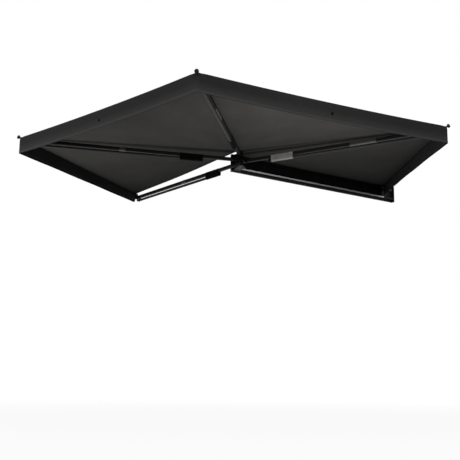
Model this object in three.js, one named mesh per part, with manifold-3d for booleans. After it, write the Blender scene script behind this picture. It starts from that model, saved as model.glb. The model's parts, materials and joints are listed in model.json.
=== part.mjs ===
// A 270 degree side awning for a vehicle, opened out: four arms swing from a hub at one end of a
// beam and carry a canopy of four panels with a valance. Millimetres, +Z up.
// The drawing frame has +X along the beam, +Y towards the vehicle, and z = 0 in the canopy plane.
// The exported group moves it so that the origin is under the foot of the bracket beside the hub.
import * as THREE from 'three';
import * as BufferGeometryUtils from 'three/addons/utils/BufferGeometryUtils.js';
import Module from 'manifold-3d';

const wasm = await Module();
wasm.setup();

const DEGREES = Math.PI / 180;

// Clearances
const GAP = 0.3;             // between faces that touch on the real part
const RUNNING = 0.5;         // between faces that turn or slide past each other
const OVERRUN = 2;           // how far a cutting tool runs past the face it leaves

// Arms, numbered from the one beside the beam to the last one out
const ARM_ANGLE = [298, 225, 155, 90];        // degrees from the beam, seen from above
const ARM_REACH = [1957, 2026, 2035, 2000];   // pivot pin to canopy corner
const ARM_STOREY = [1, 0, 1, 2];              // which storey of the hub the arm turns in
const CORNER_DROP = [0, 0, 0, 55];            // canopy corner below the canopy plane
const TIP_DROP = [20, 20, 20, 105];           // arm centre line at its tip, below the plane
const PIN_PITCH = 45;                         // between neighbouring folded arms
const FIRST_PIN_OUT = 48;                     // beam face to the first folded arm
const LAST_PIN_BACK = 60;                     // the last arm's pin, behind the other three

// Hub
const PLATE_THICKNESS = 6;
const STOREY_HEIGHT = 42;
const HUB_TOP_DROP = 9;
const PLATE_RIM = 20;                         // round each pin
const POST_BACK = 25;
const POST_FRONT = 50;
const POST_DEPTH = 24;
const HUB_BOLT_X = 38;
const HUB_BOLT_STOREY = [1, 2];               // the storeys whose middles the two bolts stand at
const HUB_BOLT_LOWER = [0, 8];                // and how far below those they are
const HUB_BOLT_RADIUS = 5;
const HUB_BOLT_HEAD = 8;
const HUB_BOLT_HEAD_HEIGHT = 6;
const HUB_NUT_HEIGHT = 6.5;
const HUB_BOLT_END = 4;                       // past its nut

// Pivot pins: the first and the last plate that each one passes through
const PIN_RADIUS = 7;
const PIN_HEAD_RADIUS = 12;
const PIN_HEAD_HEIGHT = 4;
const PIN_PLATES = [[0, 3], [0, 1], [1, 3], [2, 3]];

// Knuckles and arm tubes
const EYE_RADIUS = 17;
const KNUCKLE_WIDTH = 24;
const KNUCKLE_HEIGHT = 30;
const KNUCKLE_LENGTH = 105;
const TONGUE_LENGTH = 60;
const TUBE_SIZE = 30;
const TUBE_WALL = 2;
const TUBE_CORNER = 3;
const TUBE_END_BACK = 30;                     // tube end inside the canopy corner

// Tip fittings
const TIP_PLUG = 45;
const TIP_PLATE = 4;
const TIP_PLATE_SIZE = 34;
const STUB_RADIUS = 8;
const KNOB_RADIUS = 17;
const KNOB_LENGTH = 22;
const KNOB_SHARES = [[0, 1], [0.5, 1], [0.85, 0.75], [1, 0]];   // along it, and of its radius
const STUB_LENGTH = 32;
const STUB_TILT = 20;                         // degrees, up from the arm
const RISER_WIDTH = 36;                       // the seat under the canopy corner
const RISER_THICKNESS = 8;
const SEAT_ROOM = 1.1;                        // so that the sloped seat clears the cloth
const STUB_DROP = 12;                         // its root below the canopy corner

// Support poles
const POLE_RADIUS = 12.5;
const POLE_WALL = 1.5;
const POLE_SHORTER = 457;                     // outer tube, shorter than the shortest arm's reach
const POLE_UNDER = 23;                        // pole pin below the arm tube's underside
const POLE_RISE = [0.28, 0.28, 0.28, 0];      // degrees, its free end drawn up to the arm
const POLE_PIN_BACK = 45;                     // from the arm tube's end
const LUG_WIDTH = 22;
const LUG_LENGTH = 16;
const LUG_PLUG = 25;
const POLE_PIN_RADIUS = 4;
const EAR_THICKNESS = 4;
const EAR_RADIUS = 11;
const EAR_BASE_LENGTH = 60;
const EAR_BASE_THICKNESS = 3;
const POLE_PIN_OVERHANG = 3;
const INNER_RADIUS = 10.4;
const INNER_WALL = 1.5;
const INNER_LENGTH = 950;
const INNER_OUT = 24;                         // what shows of the inner tube when it is pushed in
const COLLAR_RADIUS = 14.5;
const COLLAR_EDGE = 0.5;
const COLLAR_GRIP = 20;                       // over the outer tube
const COLLAR_NOSE = 14;                       // past its end
const FOOT_RADIUS = 14;
const FOOT_LENGTH = 26;
const FOOT_STEM = 12;
const FOOT_ROUNDING = 4;

// Hook-and-loop wraps
const WRAP_LENGTH = 215;
const WRAP_THICKNESS = 2;
const WRAP_ROOM = 0.4;
const WRAP_BACK = [75, 30, 30, 30];           // wrap centre, inside the outer tube's open end
const WRAP_CORNER = 5;

// Beam
const BEAM_BACK = 30;                         // behind the pin line
const BEAM_LENGTH = 2166;
const BEAM_DEPTH = 18;
const BEAM_HEIGHT = 170;
const BEAM_WALL = 2.5;
const BEAM_RIB_UP = 90;                       // a rib inside, above the beam's lower edge
const LINE_INSET = 18;                        // a shallow groove along each edge of its back
const LINE_WIDTH = 8;
const LINE_DEPTH = 1;
const RAIL_UP = 24;                           // above the beam's lower edge
const RAIL_HEIGHT = 18;
const RAIL_DEPTH = 26;
const RAIL_CHAMFER = 2;
const STRIP_THICKNESS = 3;                    // the bright strip on the rail's nose
const STRIP_START = 6;                        // in front of the hub's post
const STRIP_END_BACK = 156;                   // inside the beam's front end
const GROOVE_DEPTH = 9;
const GROOVE_HEIGHT = 14;
const GROOVE_MOUTH = 4;
const GROOVE_LIP = 2;
const END_PLATE = 4;
const END_PLATE_OVER = 2;
const END_SKIRT = 30;                         // end plate's reach in front of the web

// Mounting brackets
const REAR_BRACKET_X = 300;
const FRONT_BRACKET_BACK = 436;               // inside the beam's front end
const BRACKET_WIDTH = 70;
const BRACKET_THICKNESS = 5;
const BRACKET_TOP_DROP = 25;
const BRACKET_FOOT_UP = 30;                   // its underside, above the beam's lower edge
const BRACKET_FOOT_LENGTH = 82;
const FOOT_SLOT_WIDTH = 9;
const FOOT_SLOT_LENGTH = 36;
const FOOT_SLOT_OUT = 44;                     // slot centre from the beam's back
const FOOT_SLOT_SIDE = 18;                    // slot centre line beside the bracket's middle
const UPPER_BRACKET_BOLT_DROP = 40;
const LOWER_BRACKET_BOLT_UP = 60;             // above the beam's lower edge
const BRACKET_BOLT_RADIUS = 4;
const BRACKET_BOLT_HEAD = 7.5;
const BRACKET_BOLT_HEAD_HEIGHT = 5.5;
const BRACKET_BOLT_INSIDE = 9;                // past the beam's back wall

// Canopy
const FABRIC = 2.5;
const VALANCE = [100, 147, 147, 147, 100];    // its height at the beam and at each arm's corner
const CORNER_BACK = 136;                      // canopy corner, inside the beam's front end
const APEX_X = -28;
const APEX_Y = -88;
const APEX_LIFT = 10;                         // so that the free edge clears the beam's rear end
const APEX_RADIUS = 9;
const CORNER_NOTCH = 15;                      // cut back on each side of the knob's stub
const NOTCH_DEPTH = 36;
const PANEL_SAG = 16;
const EDGE_BOW = 14;                          // the outer edge pulled in at its middle
const EDGE_SAG = 7;
const FREE_EDGE_SAG = 34;
const FREE_EDGE_POWER = 6;                    // how closely that sag keeps to the free edge
const TRIM_SHARE = 0.2;                       // most of a panel's width that a seam may take
const HEM_SWAY = 5;
const PANEL_COLUMNS = 12;
const PANEL_ROWS = 8;
const VALANCE_ROWS = 3;

// Travel cover, folded against the beam
const COVER_START = 80;
const COVER_END_BACK = 176;                   // inside the beam's front end
const COVER_TOP_DROP = 22;
const COVER_RAIL_ROOM = 4;
const COVER_DEPTH = 15;
const COVER_FOLDS = 3;
const COVER_FOLD_DEPTH = 5;
const COVER_FOLD_STEPS = 6;

const anodised = new THREE.MeshStandardMaterial({ color: 0x1c1c1d, roughness: 0.45, metalness: 0.7 });
const paintedSteel = new THREE.MeshStandardMaterial({ color: 0x151515, roughness: 0.5, metalness: 0.5 });
const zincSteel = new THREE.MeshStandardMaterial({ color: 0x9a9b9c, roughness: 0.35, metalness: 0.9 });
const brightAluminium = new THREE.MeshStandardMaterial({ color: 0x8d8e90, roughness: 0.4, metalness: 0.85 });
const blackPlastic = new THREE.MeshStandardMaterial({ color: 0x101011, roughness: 0.6, metalness: 0 });
const blackRubber = new THREE.MeshStandardMaterial({ color: 0x161616, roughness: 0.85, metalness: 0 });
const canopyCloth = new THREE.MeshStandardMaterial({ color: 0x2b2b2b, roughness: 0.85, metalness: 0 });
const loopTape = new THREE.MeshStandardMaterial({ color: 0x5f5f60, roughness: 0.95, metalness: 0 });
const coverCloth = new THREE.MeshStandardMaterial({ color: 0x121213, roughness: 0.6, metalness: 0 });

const armCount = ARM_ANGLE.length;
const armNumbers = [...ARM_ANGLE.keys()];
const lastArm = armCount - 1;
const storeyPitch = PLATE_THICKNESS + STOREY_HEIGHT;
const plateTop = (plate) => -HUB_TOP_DROP - plate * storeyPitch;
const storeyMiddle = (storey) => plateTop(storey) - PLATE_THICKNESS - STOREY_HEIGHT / 2;
const tubeInside = TUBE_SIZE - 2 * TUBE_WALL;
const poleHang = TUBE_SIZE / 2 + POLE_UNDER;
const poleLength = Math.min(...ARM_REACH) - POLE_SHORTER;

const beamEnd = BEAM_LENGTH - BEAM_BACK;
const railDrop = BEAM_HEIGHT - RAIL_UP - RAIL_HEIGHT;
const hubBoltDrops = HUB_BOLT_STOREY.map((storey, i) => HUB_BOLT_LOWER[i] - storeyMiddle(storey));
const ribDrop = BEAM_HEIGHT - BEAM_RIB_UP;
const bracketPlaces = [REAR_BRACKET_X, beamEnd - FRONT_BRACKET_BACK];
const bracketFootDrop = BEAM_HEIGHT - BRACKET_FOOT_UP;
const bracketBoltDrops = [UPPER_BRACKET_BOLT_DROP, BEAM_HEIGHT - LOWER_BRACKET_BOLT_UP];
const coverBottomDrop = railDrop - COVER_RAIL_ROOM;

function pinPlace(arm) {
  const back = arm === lastArm ? LAST_PIN_BACK : 0;
  return new THREE.Vector2(-back, -FIRST_PIN_OUT - arm * PIN_PITCH);
}

function cornerPlace(arm) {
  const angle = ARM_ANGLE[arm] * DEGREES;
  const pin = pinPlace(arm);
  return new THREE.Vector3(
    pin.x + ARM_REACH[arm] * Math.cos(angle),
    pin.y + ARM_REACH[arm] * Math.sin(angle),
    -CORNER_DROP[arm],
  );
}

// Solids and booleans
function toSolid(geometry) {
  const bare = geometry.clone();
  bare.deleteAttribute('normal');
  bare.deleteAttribute('uv');
  const merged = BufferGeometryUtils.mergeVertices(bare);
  return new wasm.Manifold(new wasm.Mesh({
    numProp: 3,
    vertProperties: new Float32Array(merged.attributes.position.array),
    triVerts: new Uint32Array(merged.index.array),
  }));
}

function toGeometry(solid) {
  const mesh = solid.getMesh();
  const geometry = new THREE.BufferGeometry();
  geometry.setAttribute('position', new THREE.BufferAttribute(mesh.vertProperties, 3));
  geometry.setIndex(new THREE.BufferAttribute(mesh.triVerts, 1));
  const flat = geometry.toNonIndexed();
  flat.computeVertexNormals();
  return flat;
}

function join(...geometries) {
  return toGeometry(geometries.map(toSolid).reduce((sum, next) => sum.add(next)));
}

function cut(geometry, ...tools) {
  return toGeometry(tools.map(toSolid).reduce((rest, tool) => rest.subtract(tool), toSolid(geometry)));
}

// Plain shapes
function box(low, high) {
  const size = new THREE.Vector3().subVectors(high, low);
  const middle = new THREE.Vector3().addVectors(low, high).multiplyScalar(0.5);
  return new THREE.BoxGeometry(size.x, size.y, size.z).translate(middle.x, middle.y, middle.z);
}

function uprightCylinder(radius, bottom, top, x = 0, y = 0, sides = 16) {
  const cylinder = new THREE.CylinderGeometry(radius, radius, top - bottom, sides);
  return cylinder.rotateX(Math.PI / 2).translate(x, y, (bottom + top) / 2);
}

function crossCylinder(radius, from, to, x = 0, z = 0, sides = 12) {
  return new THREE.CylinderGeometry(radius, radius, to - from, sides).translate(x, (from + to) / 2, z);
}

function alongX(shape, start, length) {
  const turn = new THREE.Matrix4().makeBasis(
    new THREE.Vector3(0, 1, 0), new THREE.Vector3(0, 0, 1), new THREE.Vector3(1, 0, 0),
  );
  const bar = new THREE.ExtrudeGeometry(shape, { depth: length, bevelEnabled: false });
  return bar.applyMatrix4(turn).translate(start, 0, 0);
}

// A turned piece on the X axis: the profile is pairs of [distance along X, radius]
function turned(profile, sides = 16) {
  const points = profile.map(([along, radius]) => new THREE.Vector2(radius, along));
  return new THREE.LatheGeometry(points, sides).rotateZ(-Math.PI / 2);
}

function roundedRectangle(width, height, corner, middleX = 0, middleY = 0, segments = 3) {
  const shape = new THREE.Shape();
  const right = width / 2 - corner;
  const top = height / 2 - corner;
  const centres = [[right, top], [-right, top], [-right, -top], [right, -top]];
  centres.forEach(([x, y], quarter) => {
    for (let step = 0; step <= segments; step += 1) {
      const angle = (quarter + step / segments) * Math.PI / 2;
      const px = middleX + x + corner * Math.cos(angle);
      const py = middleY + y + corner * Math.sin(angle);
      if (quarter === 0 && step === 0) shape.moveTo(px, py);
      else shape.lineTo(px, py);
    }
  });
  return shape;
}

function squareTube(size, wall, corner, length) {
  const section = roundedRectangle(size, size, corner);
  section.holes.push(roundedRectangle(size - 2 * wall, size - 2 * wall, corner - wall));
  return alongX(section, 0, length);
}

function roundTube(radius, wall, start, end, sides = 16) {
  return turned([
    [start, radius - wall], [start, radius], [end, radius], [end, radius - wall], [start, radius - wall],
  ], sides);
}

// The outline of a sheet stretched round a set of circles, as a convex hull of their rims
function hullShape(circles, rimPoints = 20) {
  const points = [];
  for (const [x, y, radius] of circles) {
    for (let i = 0; i < rimPoints; i += 1) {
      const angle = (i / rimPoints) * 2 * Math.PI;
      points.push([x + radius * Math.cos(angle), y + radius * Math.sin(angle)]);
    }
  }
  points.sort((a, b) => a[0] - b[0] || a[1] - b[1]);
  const turnOf = (o, a, b) => (a[0] - o[0]) * (b[1] - o[1]) - (a[1] - o[1]) * (b[0] - o[0]);
  const chain = (ordered) => {
    const side = [];
    for (const point of ordered) {
      while (side.length > 1 && turnOf(side.at(-2), side.at(-1), point) <= 1e-6) side.pop();
      side.push(point);
    }
    return side.slice(0, -1);
  };
  const rim = [...chain(points), ...chain(points.slice().reverse())];
  return new THREE.Shape(rim.map(([x, y]) => new THREE.Vector2(x, y)));
}

function named(name, geometry, material) {
  const mesh = new THREE.Mesh(geometry, material);
  mesh.name = name;
  return mesh;
}

// Beam: a hollow extrusion with a plain back, a groove for the cloth on top and a rail in front
function beamSection() {
  const outline = [[BEAM_DEPTH, 0]];
  for (const drop of [LINE_INSET, BEAM_HEIGHT - LINE_INSET]) {
    const half = LINE_WIDTH / 2;
    const floor = BEAM_DEPTH - LINE_DEPTH;
    outline.push([BEAM_DEPTH, half - drop], [floor, half - drop]);
    outline.push([floor, -half - drop], [BEAM_DEPTH, -half - drop]);
  }
  outline.push([BEAM_DEPTH, -BEAM_HEIGHT], [0, -BEAM_HEIGHT]);
  const railBottom = -railDrop - RAIL_HEIGHT;
  outline.push([0, railBottom], [RAIL_CHAMFER - RAIL_DEPTH, railBottom]);
  outline.push([-RAIL_DEPTH, railBottom + RAIL_CHAMFER], [-RAIL_DEPTH, -railDrop - RAIL_CHAMFER]);
  outline.push([RAIL_CHAMFER - RAIL_DEPTH, -railDrop], [0, -railDrop]);
  const mouthTop = (GROOVE_MOUTH - GROOVE_HEIGHT) / 2;
  const mouthBottom = mouthTop - GROOVE_MOUTH;
  const lipBack = GROOVE_LIP - GROOVE_DEPTH;
  outline.push([0, -GROOVE_HEIGHT], [-GROOVE_DEPTH, -GROOVE_HEIGHT], [-GROOVE_DEPTH, mouthBottom]);
  outline.push([lipBack, mouthBottom], [lipBack, BEAM_WALL - GROOVE_HEIGHT]);
  outline.push([-BEAM_WALL, BEAM_WALL - GROOVE_HEIGHT], [-BEAM_WALL, -BEAM_WALL]);
  outline.push([lipBack, -BEAM_WALL], [lipBack, mouthTop], [-GROOVE_DEPTH, mouthTop]);
  outline.push([-GROOVE_DEPTH, 0]);
  return new THREE.Shape(outline.map(([y, z]) => new THREE.Vector2(y, z)));
}

// The beam's hollows: one above and one below the inner rib, and one in the rail
function beamHollows() {
  const start = -BEAM_BACK - OVERRUN;
  const end = start + BEAM_LENGTH + 2 * OVERRUN;
  const ceilings = [-BEAM_WALL, -ribDrop - BEAM_WALL / 2];
  const floors = [BEAM_WALL / 2 - ribDrop, BEAM_WALL - BEAM_HEIGHT];
  const hollows = ceilings.map((ceiling, i) => box(
    new THREE.Vector3(start, BEAM_WALL, floors[i]),
    new THREE.Vector3(end, BEAM_DEPTH - BEAM_WALL, ceiling),
  ));
  hollows.push(box(
    new THREE.Vector3(start, BEAM_WALL + RAIL_CHAMFER - RAIL_DEPTH, BEAM_WALL - railDrop - RAIL_HEIGHT),
    new THREE.Vector3(end, -BEAM_WALL, -railDrop - BEAM_WALL),
  ));
  return hollows;
}

function beam() {
  const bar = alongX(beamSection(), -BEAM_BACK, BEAM_LENGTH);
  const hubRoom = box(
    new THREE.Vector3(-BEAM_BACK - OVERRUN, -RAIL_DEPTH - OVERRUN, -BEAM_HEIGHT - OVERRUN),
    new THREE.Vector3(POST_FRONT + OVERRUN, 0, OVERRUN),
  );
  const holes = hubBoltDrops.map((drop) => crossCylinder(
    HUB_BOLT_RADIUS + GAP, -OVERRUN, BEAM_DEPTH + OVERRUN, HUB_BOLT_X, -drop,
  ));
  for (const x of bracketPlaces) {
    for (const drop of bracketBoltDrops) {
      const front = BEAM_DEPTH - BEAM_WALL - OVERRUN;
      holes.push(crossCylinder(BRACKET_BOLT_RADIUS + GAP, front, BEAM_DEPTH + OVERRUN, x, -drop));
    }
  }
  return named('beam', cut(bar, hubRoom, ...beamHollows(), ...holes), anodised);
}

// A bright strip along the flat nose of the beam's rail
function railStrip() {
  const nose = -RAIL_DEPTH - GAP;
  const bottom = RAIL_CHAMFER - railDrop - RAIL_HEIGHT;
  const strip = box(
    new THREE.Vector3(POST_FRONT + STRIP_START, nose - STRIP_THICKNESS, bottom),
    new THREE.Vector3(beamEnd - STRIP_END_BACK, nose, -railDrop - RAIL_CHAMFER),
  );
  return named('beam_rail_strip', strip, brightAluminium);
}

function beamEndPlate(name, faceX, outward, frontReach) {
  const near = faceX + outward * GAP;
  const far = near + outward * END_PLATE;
  const plate = box(
    new THREE.Vector3(Math.min(near, far), -frontReach, -BEAM_HEIGHT - END_PLATE_OVER),
    new THREE.Vector3(Math.max(near, far), BEAM_DEPTH + END_PLATE_OVER, 0),
  );
  return named(name, plate, blackPlastic);
}

// Hub: a post on the beam with four plates, which leave three storeys for the arms
function hubBracket() {
  const bottom = plateTop(armCount - 1) - PLATE_THICKNESS;
  const post = box(
    new THREE.Vector3(-POST_BACK, -POST_DEPTH, bottom),
    new THREE.Vector3(POST_FRONT, -GAP, plateTop(0)),
  );
  const pieces = [post];
  for (let plate = 0; plate < armCount; plate += 1) {
    const held = armNumbers.filter((arm) => PIN_PLATES[arm][0] <= plate && plate <= PIN_PLATES[arm][1]);
    const rims = held.map((arm) => [pinPlace(arm).x, pinPlace(arm).y, PLATE_RIM]);
    const seat = POST_DEPTH / 2;
    const outline = hullShape([
      [seat - POST_BACK, -seat, seat - GAP], [POST_FRONT - seat, -seat, seat - GAP], ...rims,
    ]);
    const sheet = new THREE.ExtrudeGeometry(outline, { depth: PLATE_THICKNESS, bevelEnabled: false });
    pieces.push(sheet.translate(0, 0, plateTop(plate) - PLATE_THICKNESS));
  }
  const pinHoles = armNumbers.map((arm) => uprightCylinder(
    PIN_RADIUS + GAP,
    plateTop(PIN_PLATES[arm][1]) - PLATE_THICKNESS - OVERRUN,
    plateTop(PIN_PLATES[arm][0]) + OVERRUN,
    pinPlace(arm).x,
    pinPlace(arm).y,
  ));
  const boltHoles = hubBoltDrops.map((drop) => crossCylinder(
    HUB_BOLT_RADIUS + GAP, -POST_DEPTH - OVERRUN, OVERRUN, HUB_BOLT_X, -drop,
  ));
  return named('hub_bracket', cut(join(...pieces), ...pinHoles, ...boltHoles), paintedSteel);
}

function hubBolt(number) {
  const drop = hubBoltDrops[number];
  const headFace = -POST_DEPTH - GAP;
  const backFace = BEAM_DEPTH + GAP;
  const head = crossCylinder(HUB_BOLT_HEAD, headFace - HUB_BOLT_HEAD_HEIGHT, headFace, HUB_BOLT_X, -drop, 6);
  const shankEnd = backFace + HUB_NUT_HEIGHT + HUB_BOLT_END;
  const shank = crossCylinder(HUB_BOLT_RADIUS, headFace - GAP, shankEnd, HUB_BOLT_X, -drop);
  const nut = crossCylinder(HUB_BOLT_HEAD, backFace, backFace + HUB_NUT_HEIGHT, HUB_BOLT_X, -drop, 6);
  return named(`hub_bolt_${number + 1}`, join(head, shank, nut), zincSteel);
}

function pivotPin(arm) {
  const [first, last] = PIN_PLATES[arm];
  const top = plateTop(first) + GAP;
  const bottom = plateTop(last) - PLATE_THICKNESS - GAP;
  const place = pinPlace(arm);
  const head = uprightCylinder(PIN_HEAD_RADIUS, top, top + PIN_HEAD_HEIGHT, place.x, place.y, 6);
  const shank = uprightCylinder(PIN_RADIUS, bottom - GAP, top + GAP, place.x, place.y);
  const nut = uprightCylinder(PIN_HEAD_RADIUS, bottom - PIN_HEAD_HEIGHT, bottom, place.x, place.y, 6);
  return named(`pivot_pin_${arm + 1}`, join(head, shank, nut), zincSteel);
}

// Arms. Each arm's own frame stands on its pin with +X along the arm; its tube has a frame of its
// own, at the knuckle's end and sloped up to the arm's tip.
function tubeLength(arm) {
  return ARM_REACH[arm] - TUBE_END_BACK - KNUCKLE_LENGTH;
}

function tubeSlope(arm) {
  return Math.atan2(-TIP_DROP[arm] - storeyMiddle(ARM_STOREY[arm]), tubeLength(arm));
}

function knuckle(arm) {
  const half = STOREY_HEIGHT / 2 - RUNNING;
  const eye = uprightCylinder(EYE_RADIUS, -half, half);
  const bar = box(
    new THREE.Vector3(0, -KNUCKLE_WIDTH / 2, -KNUCKLE_HEIGHT / 2),
    new THREE.Vector3(KNUCKLE_LENGTH - TUBE_WALL, KNUCKLE_WIDTH / 2, KNUCKLE_HEIGHT / 2),
  );
  const reach = tubeInside / 2 - RUNNING;
  const tongue = box(
    new THREE.Vector3(-KNUCKLE_HEIGHT, -KNUCKLE_WIDTH / 2, -reach),
    new THREE.Vector3(TONGUE_LENGTH, KNUCKLE_WIDTH / 2, reach),
  );
  tongue.rotateY(-tubeSlope(arm)).translate(KNUCKLE_LENGTH, 0, 0);
  const hole = uprightCylinder(PIN_RADIUS + GAP, -half - OVERRUN, half + OVERRUN);
  return named(`arm_knuckle_${arm + 1}`, cut(join(eye, bar, tongue), hole), paintedSteel);
}

function armTube(arm) {
  const tube = squareTube(TUBE_SIZE, TUBE_WALL, TUBE_CORNER, tubeLength(arm));
  return named(`arm_tube_${arm + 1}`, tube, anodised);
}

// Tip fitting: a plug with an end plate, a riser up to the canopy corner and a knobbed stub
function armTip(arm) {
  const reach = tubeInside / 2 - RUNNING;
  const plug = box(new THREE.Vector3(-TIP_PLUG, -reach, -reach), new THREE.Vector3(TIP_PLATE, reach, reach));
  const plateHalf = TIP_PLATE_SIZE / 2;
  const plate = box(
    new THREE.Vector3(GAP, -plateHalf, -plateHalf),
    new THREE.Vector3(TIP_PLATE, plateHalf, plateHalf),
  );
  const cornerRise = TIP_DROP[arm] - CORNER_DROP[arm];
  const seat = box(
    new THREE.Vector3(GAP, -RISER_WIDTH / 2, 0),
    new THREE.Vector3(RISER_THICKNESS, RISER_WIDTH / 2, cornerRise - FABRIC / 2 - SEAT_ROOM),
  );
  const stub = turned([
    [0, 0], [0, STUB_RADIUS], [STUB_LENGTH, STUB_RADIUS],
    ...KNOB_SHARES.map(([along, out]) => [STUB_LENGTH + KNOB_LENGTH * along, KNOB_RADIUS * out]),
  ]);
  stub.rotateY(-STUB_TILT * DEGREES).translate(TIP_PLATE, 0, cornerRise - STUB_DROP);
  return named(`arm_tip_${arm + 1}`, join(plug, plate, seat, stub), blackPlastic);
}

// Support pole: it lies under its arm, hinged near the tip, and telescopes
function poleBracket(arm) {
  const innerFace = LUG_WIDTH / 2 + RUNNING;
  const outerFace = innerFace + EAR_THICKNESS;
  const top = POLE_UNDER - GAP;
  const pieces = [box(
    new THREE.Vector3(-EAR_BASE_LENGTH / 2, -outerFace, top - EAR_BASE_THICKNESS),
    new THREE.Vector3(EAR_BASE_LENGTH / 2, outerFace, top),
  )];
  for (const side of [-1, 1]) {
    const near = Math.min(side * innerFace, side * outerFace);
    const far = Math.max(side * innerFace, side * outerFace);
    pieces.push(crossCylinder(EAR_RADIUS, near, far));
    pieces.push(box(
      new THREE.Vector3(-EAR_RADIUS, near, 0),
      new THREE.Vector3(EAR_RADIUS, far, top - EAR_BASE_THICKNESS / 2),
    ));
  }
  const pinReach = outerFace + POLE_PIN_OVERHANG;
  pieces.push(crossCylinder(POLE_PIN_RADIUS, -pinReach, pinReach));
  return named(`pole_bracket_${arm + 1}`, join(...pieces), paintedSteel);
}

// The pole's own frame is on its hinge pin with +X towards the pole's foot
function poleOuter(arm) {
  const tube = roundTube(POLE_RADIUS, POLE_WALL, LUG_LENGTH, poleLength);
  const plug = turned([
    [LUG_LENGTH, 0], [LUG_LENGTH, POLE_RADIUS], [LUG_LENGTH + TUBE_WALL, POLE_RADIUS],
    [LUG_LENGTH + LUG_PLUG, POLE_RADIUS - POLE_WALL / 2], [LUG_LENGTH + LUG_PLUG, 0],
  ]);
  const lugHalf = LUG_WIDTH / 2;
  const lugHeight = EAR_RADIUS - RUNNING;
  const lug = join(
    crossCylinder(lugHeight, -lugHalf, lugHalf),
    box(
      new THREE.Vector3(0, -lugHalf, -POLE_RADIUS / 2),
      new THREE.Vector3(LUG_LENGTH + TUBE_WALL, lugHalf, POLE_RADIUS / 2),
    ),
  );
  const hole = crossCylinder(POLE_PIN_RADIUS + GAP, -lugHalf - OVERRUN, lugHalf + OVERRUN);
  return named(`pole_outer_${arm + 1}`, cut(join(tube, plug, lug), hole), anodised);
}

function poleInner(arm) {
  const end = poleLength + COLLAR_NOSE + INNER_OUT;
  const tube = roundTube(INNER_RADIUS, INNER_WALL, end - INNER_LENGTH, end);
  return named(`pole_inner_${arm + 1}`, tube, brightAluminium);
}

function poleCollar(arm) {
  const bore = INNER_RADIUS + RUNNING / 2;
  const grip = POLE_RADIUS + GAP;
  const start = poleLength - COLLAR_GRIP;
  const face = poleLength + GAP;
  const end = poleLength + COLLAR_NOSE;
  const ring = turned([
    [start, grip], [start, COLLAR_RADIUS], [end - COLLAR_EDGE, COLLAR_RADIUS],
    [end, COLLAR_RADIUS - COLLAR_EDGE],
    [end, bore], [face, bore], [face, grip], [start, grip],
  ]);
  return named(`pole_collar_${arm + 1}`, ring, blackPlastic);
}

function poleFoot(arm) {
  const start = poleLength + COLLAR_NOSE + INNER_OUT + GAP;
  const stem = INNER_RADIUS - INNER_WALL - GAP;
  const foot = turned([
    [start - FOOT_STEM, 0], [start - FOOT_STEM, stem], [start, stem],
    [start, FOOT_RADIUS - FOOT_ROUNDING / 2],
    [start + FOOT_ROUNDING, FOOT_RADIUS], [start + FOOT_LENGTH - FOOT_ROUNDING, FOOT_RADIUS],
    [start + FOOT_LENGTH, FOOT_RADIUS - FOOT_ROUNDING], [start + FOOT_LENGTH, 0],
  ]);
  return named(`pole_foot_${arm + 1}`, foot, blackRubber);
}

// A hook-and-loop sleeve round the arm and the end of its pole, in the tube's frame
function poleWrap(arm) {
  const inside = poleLength - WRAP_BACK[arm];
  const middle = polePinAlong(arm) - inside;
  const drawnUp = (inside - WRAP_LENGTH / 2) * Math.sin(POLE_RISE[arm] * DEGREES);
  const top = TUBE_SIZE / 2 + WRAP_ROOM;
  const bottom = drawnUp - poleHang - COLLAR_RADIUS - WRAP_ROOM;
  const width = Math.max(TUBE_SIZE, 2 * COLLAR_RADIUS) + 2 * WRAP_ROOM;
  const centre = (top + bottom) / 2;
  const ring = roundedRectangle(
    width + 2 * WRAP_THICKNESS, top - bottom + 2 * WRAP_THICKNESS, WRAP_CORNER, 0, centre,
  );
  ring.holes.push(roundedRectangle(width, top - bottom, WRAP_CORNER - WRAP_THICKNESS, 0, centre));
  return named(`pole_wrap_${arm + 1}`, alongX(ring, middle - WRAP_LENGTH / 2, WRAP_LENGTH), loopTape);
}

function polePinAlong(arm) {
  return tubeLength(arm) - POLE_PIN_BACK;
}

function armGroup(arm) {
  const group = new THREE.Group();
  const place = pinPlace(arm);
  group.position.set(place.x, place.y, storeyMiddle(ARM_STOREY[arm]));
  group.rotation.z = ARM_ANGLE[arm] * DEGREES;
  group.add(knuckle(arm));

  const tubeFrame = new THREE.Group();
  tubeFrame.position.x = KNUCKLE_LENGTH + GAP;
  tubeFrame.rotation.y = -tubeSlope(arm);
  tubeFrame.add(armTube(arm), poleWrap(arm));

  const tip = armTip(arm);
  tip.position.x = tubeLength(arm);
  tubeFrame.add(tip);

  const poleFrame = new THREE.Group();
  poleFrame.position.set(polePinAlong(arm), 0, -poleHang);
  poleFrame.add(poleBracket(arm));
  const pole = new THREE.Group();
  pole.rotation.set(0, POLE_RISE[arm] * DEGREES, Math.PI, 'YZX');
  pole.add(poleOuter(arm), poleInner(arm), poleCollar(arm), poleFoot(arm));
  poleFrame.add(pole);
  tubeFrame.add(poleFrame);

  group.add(tubeFrame);
  return group;
}

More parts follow.
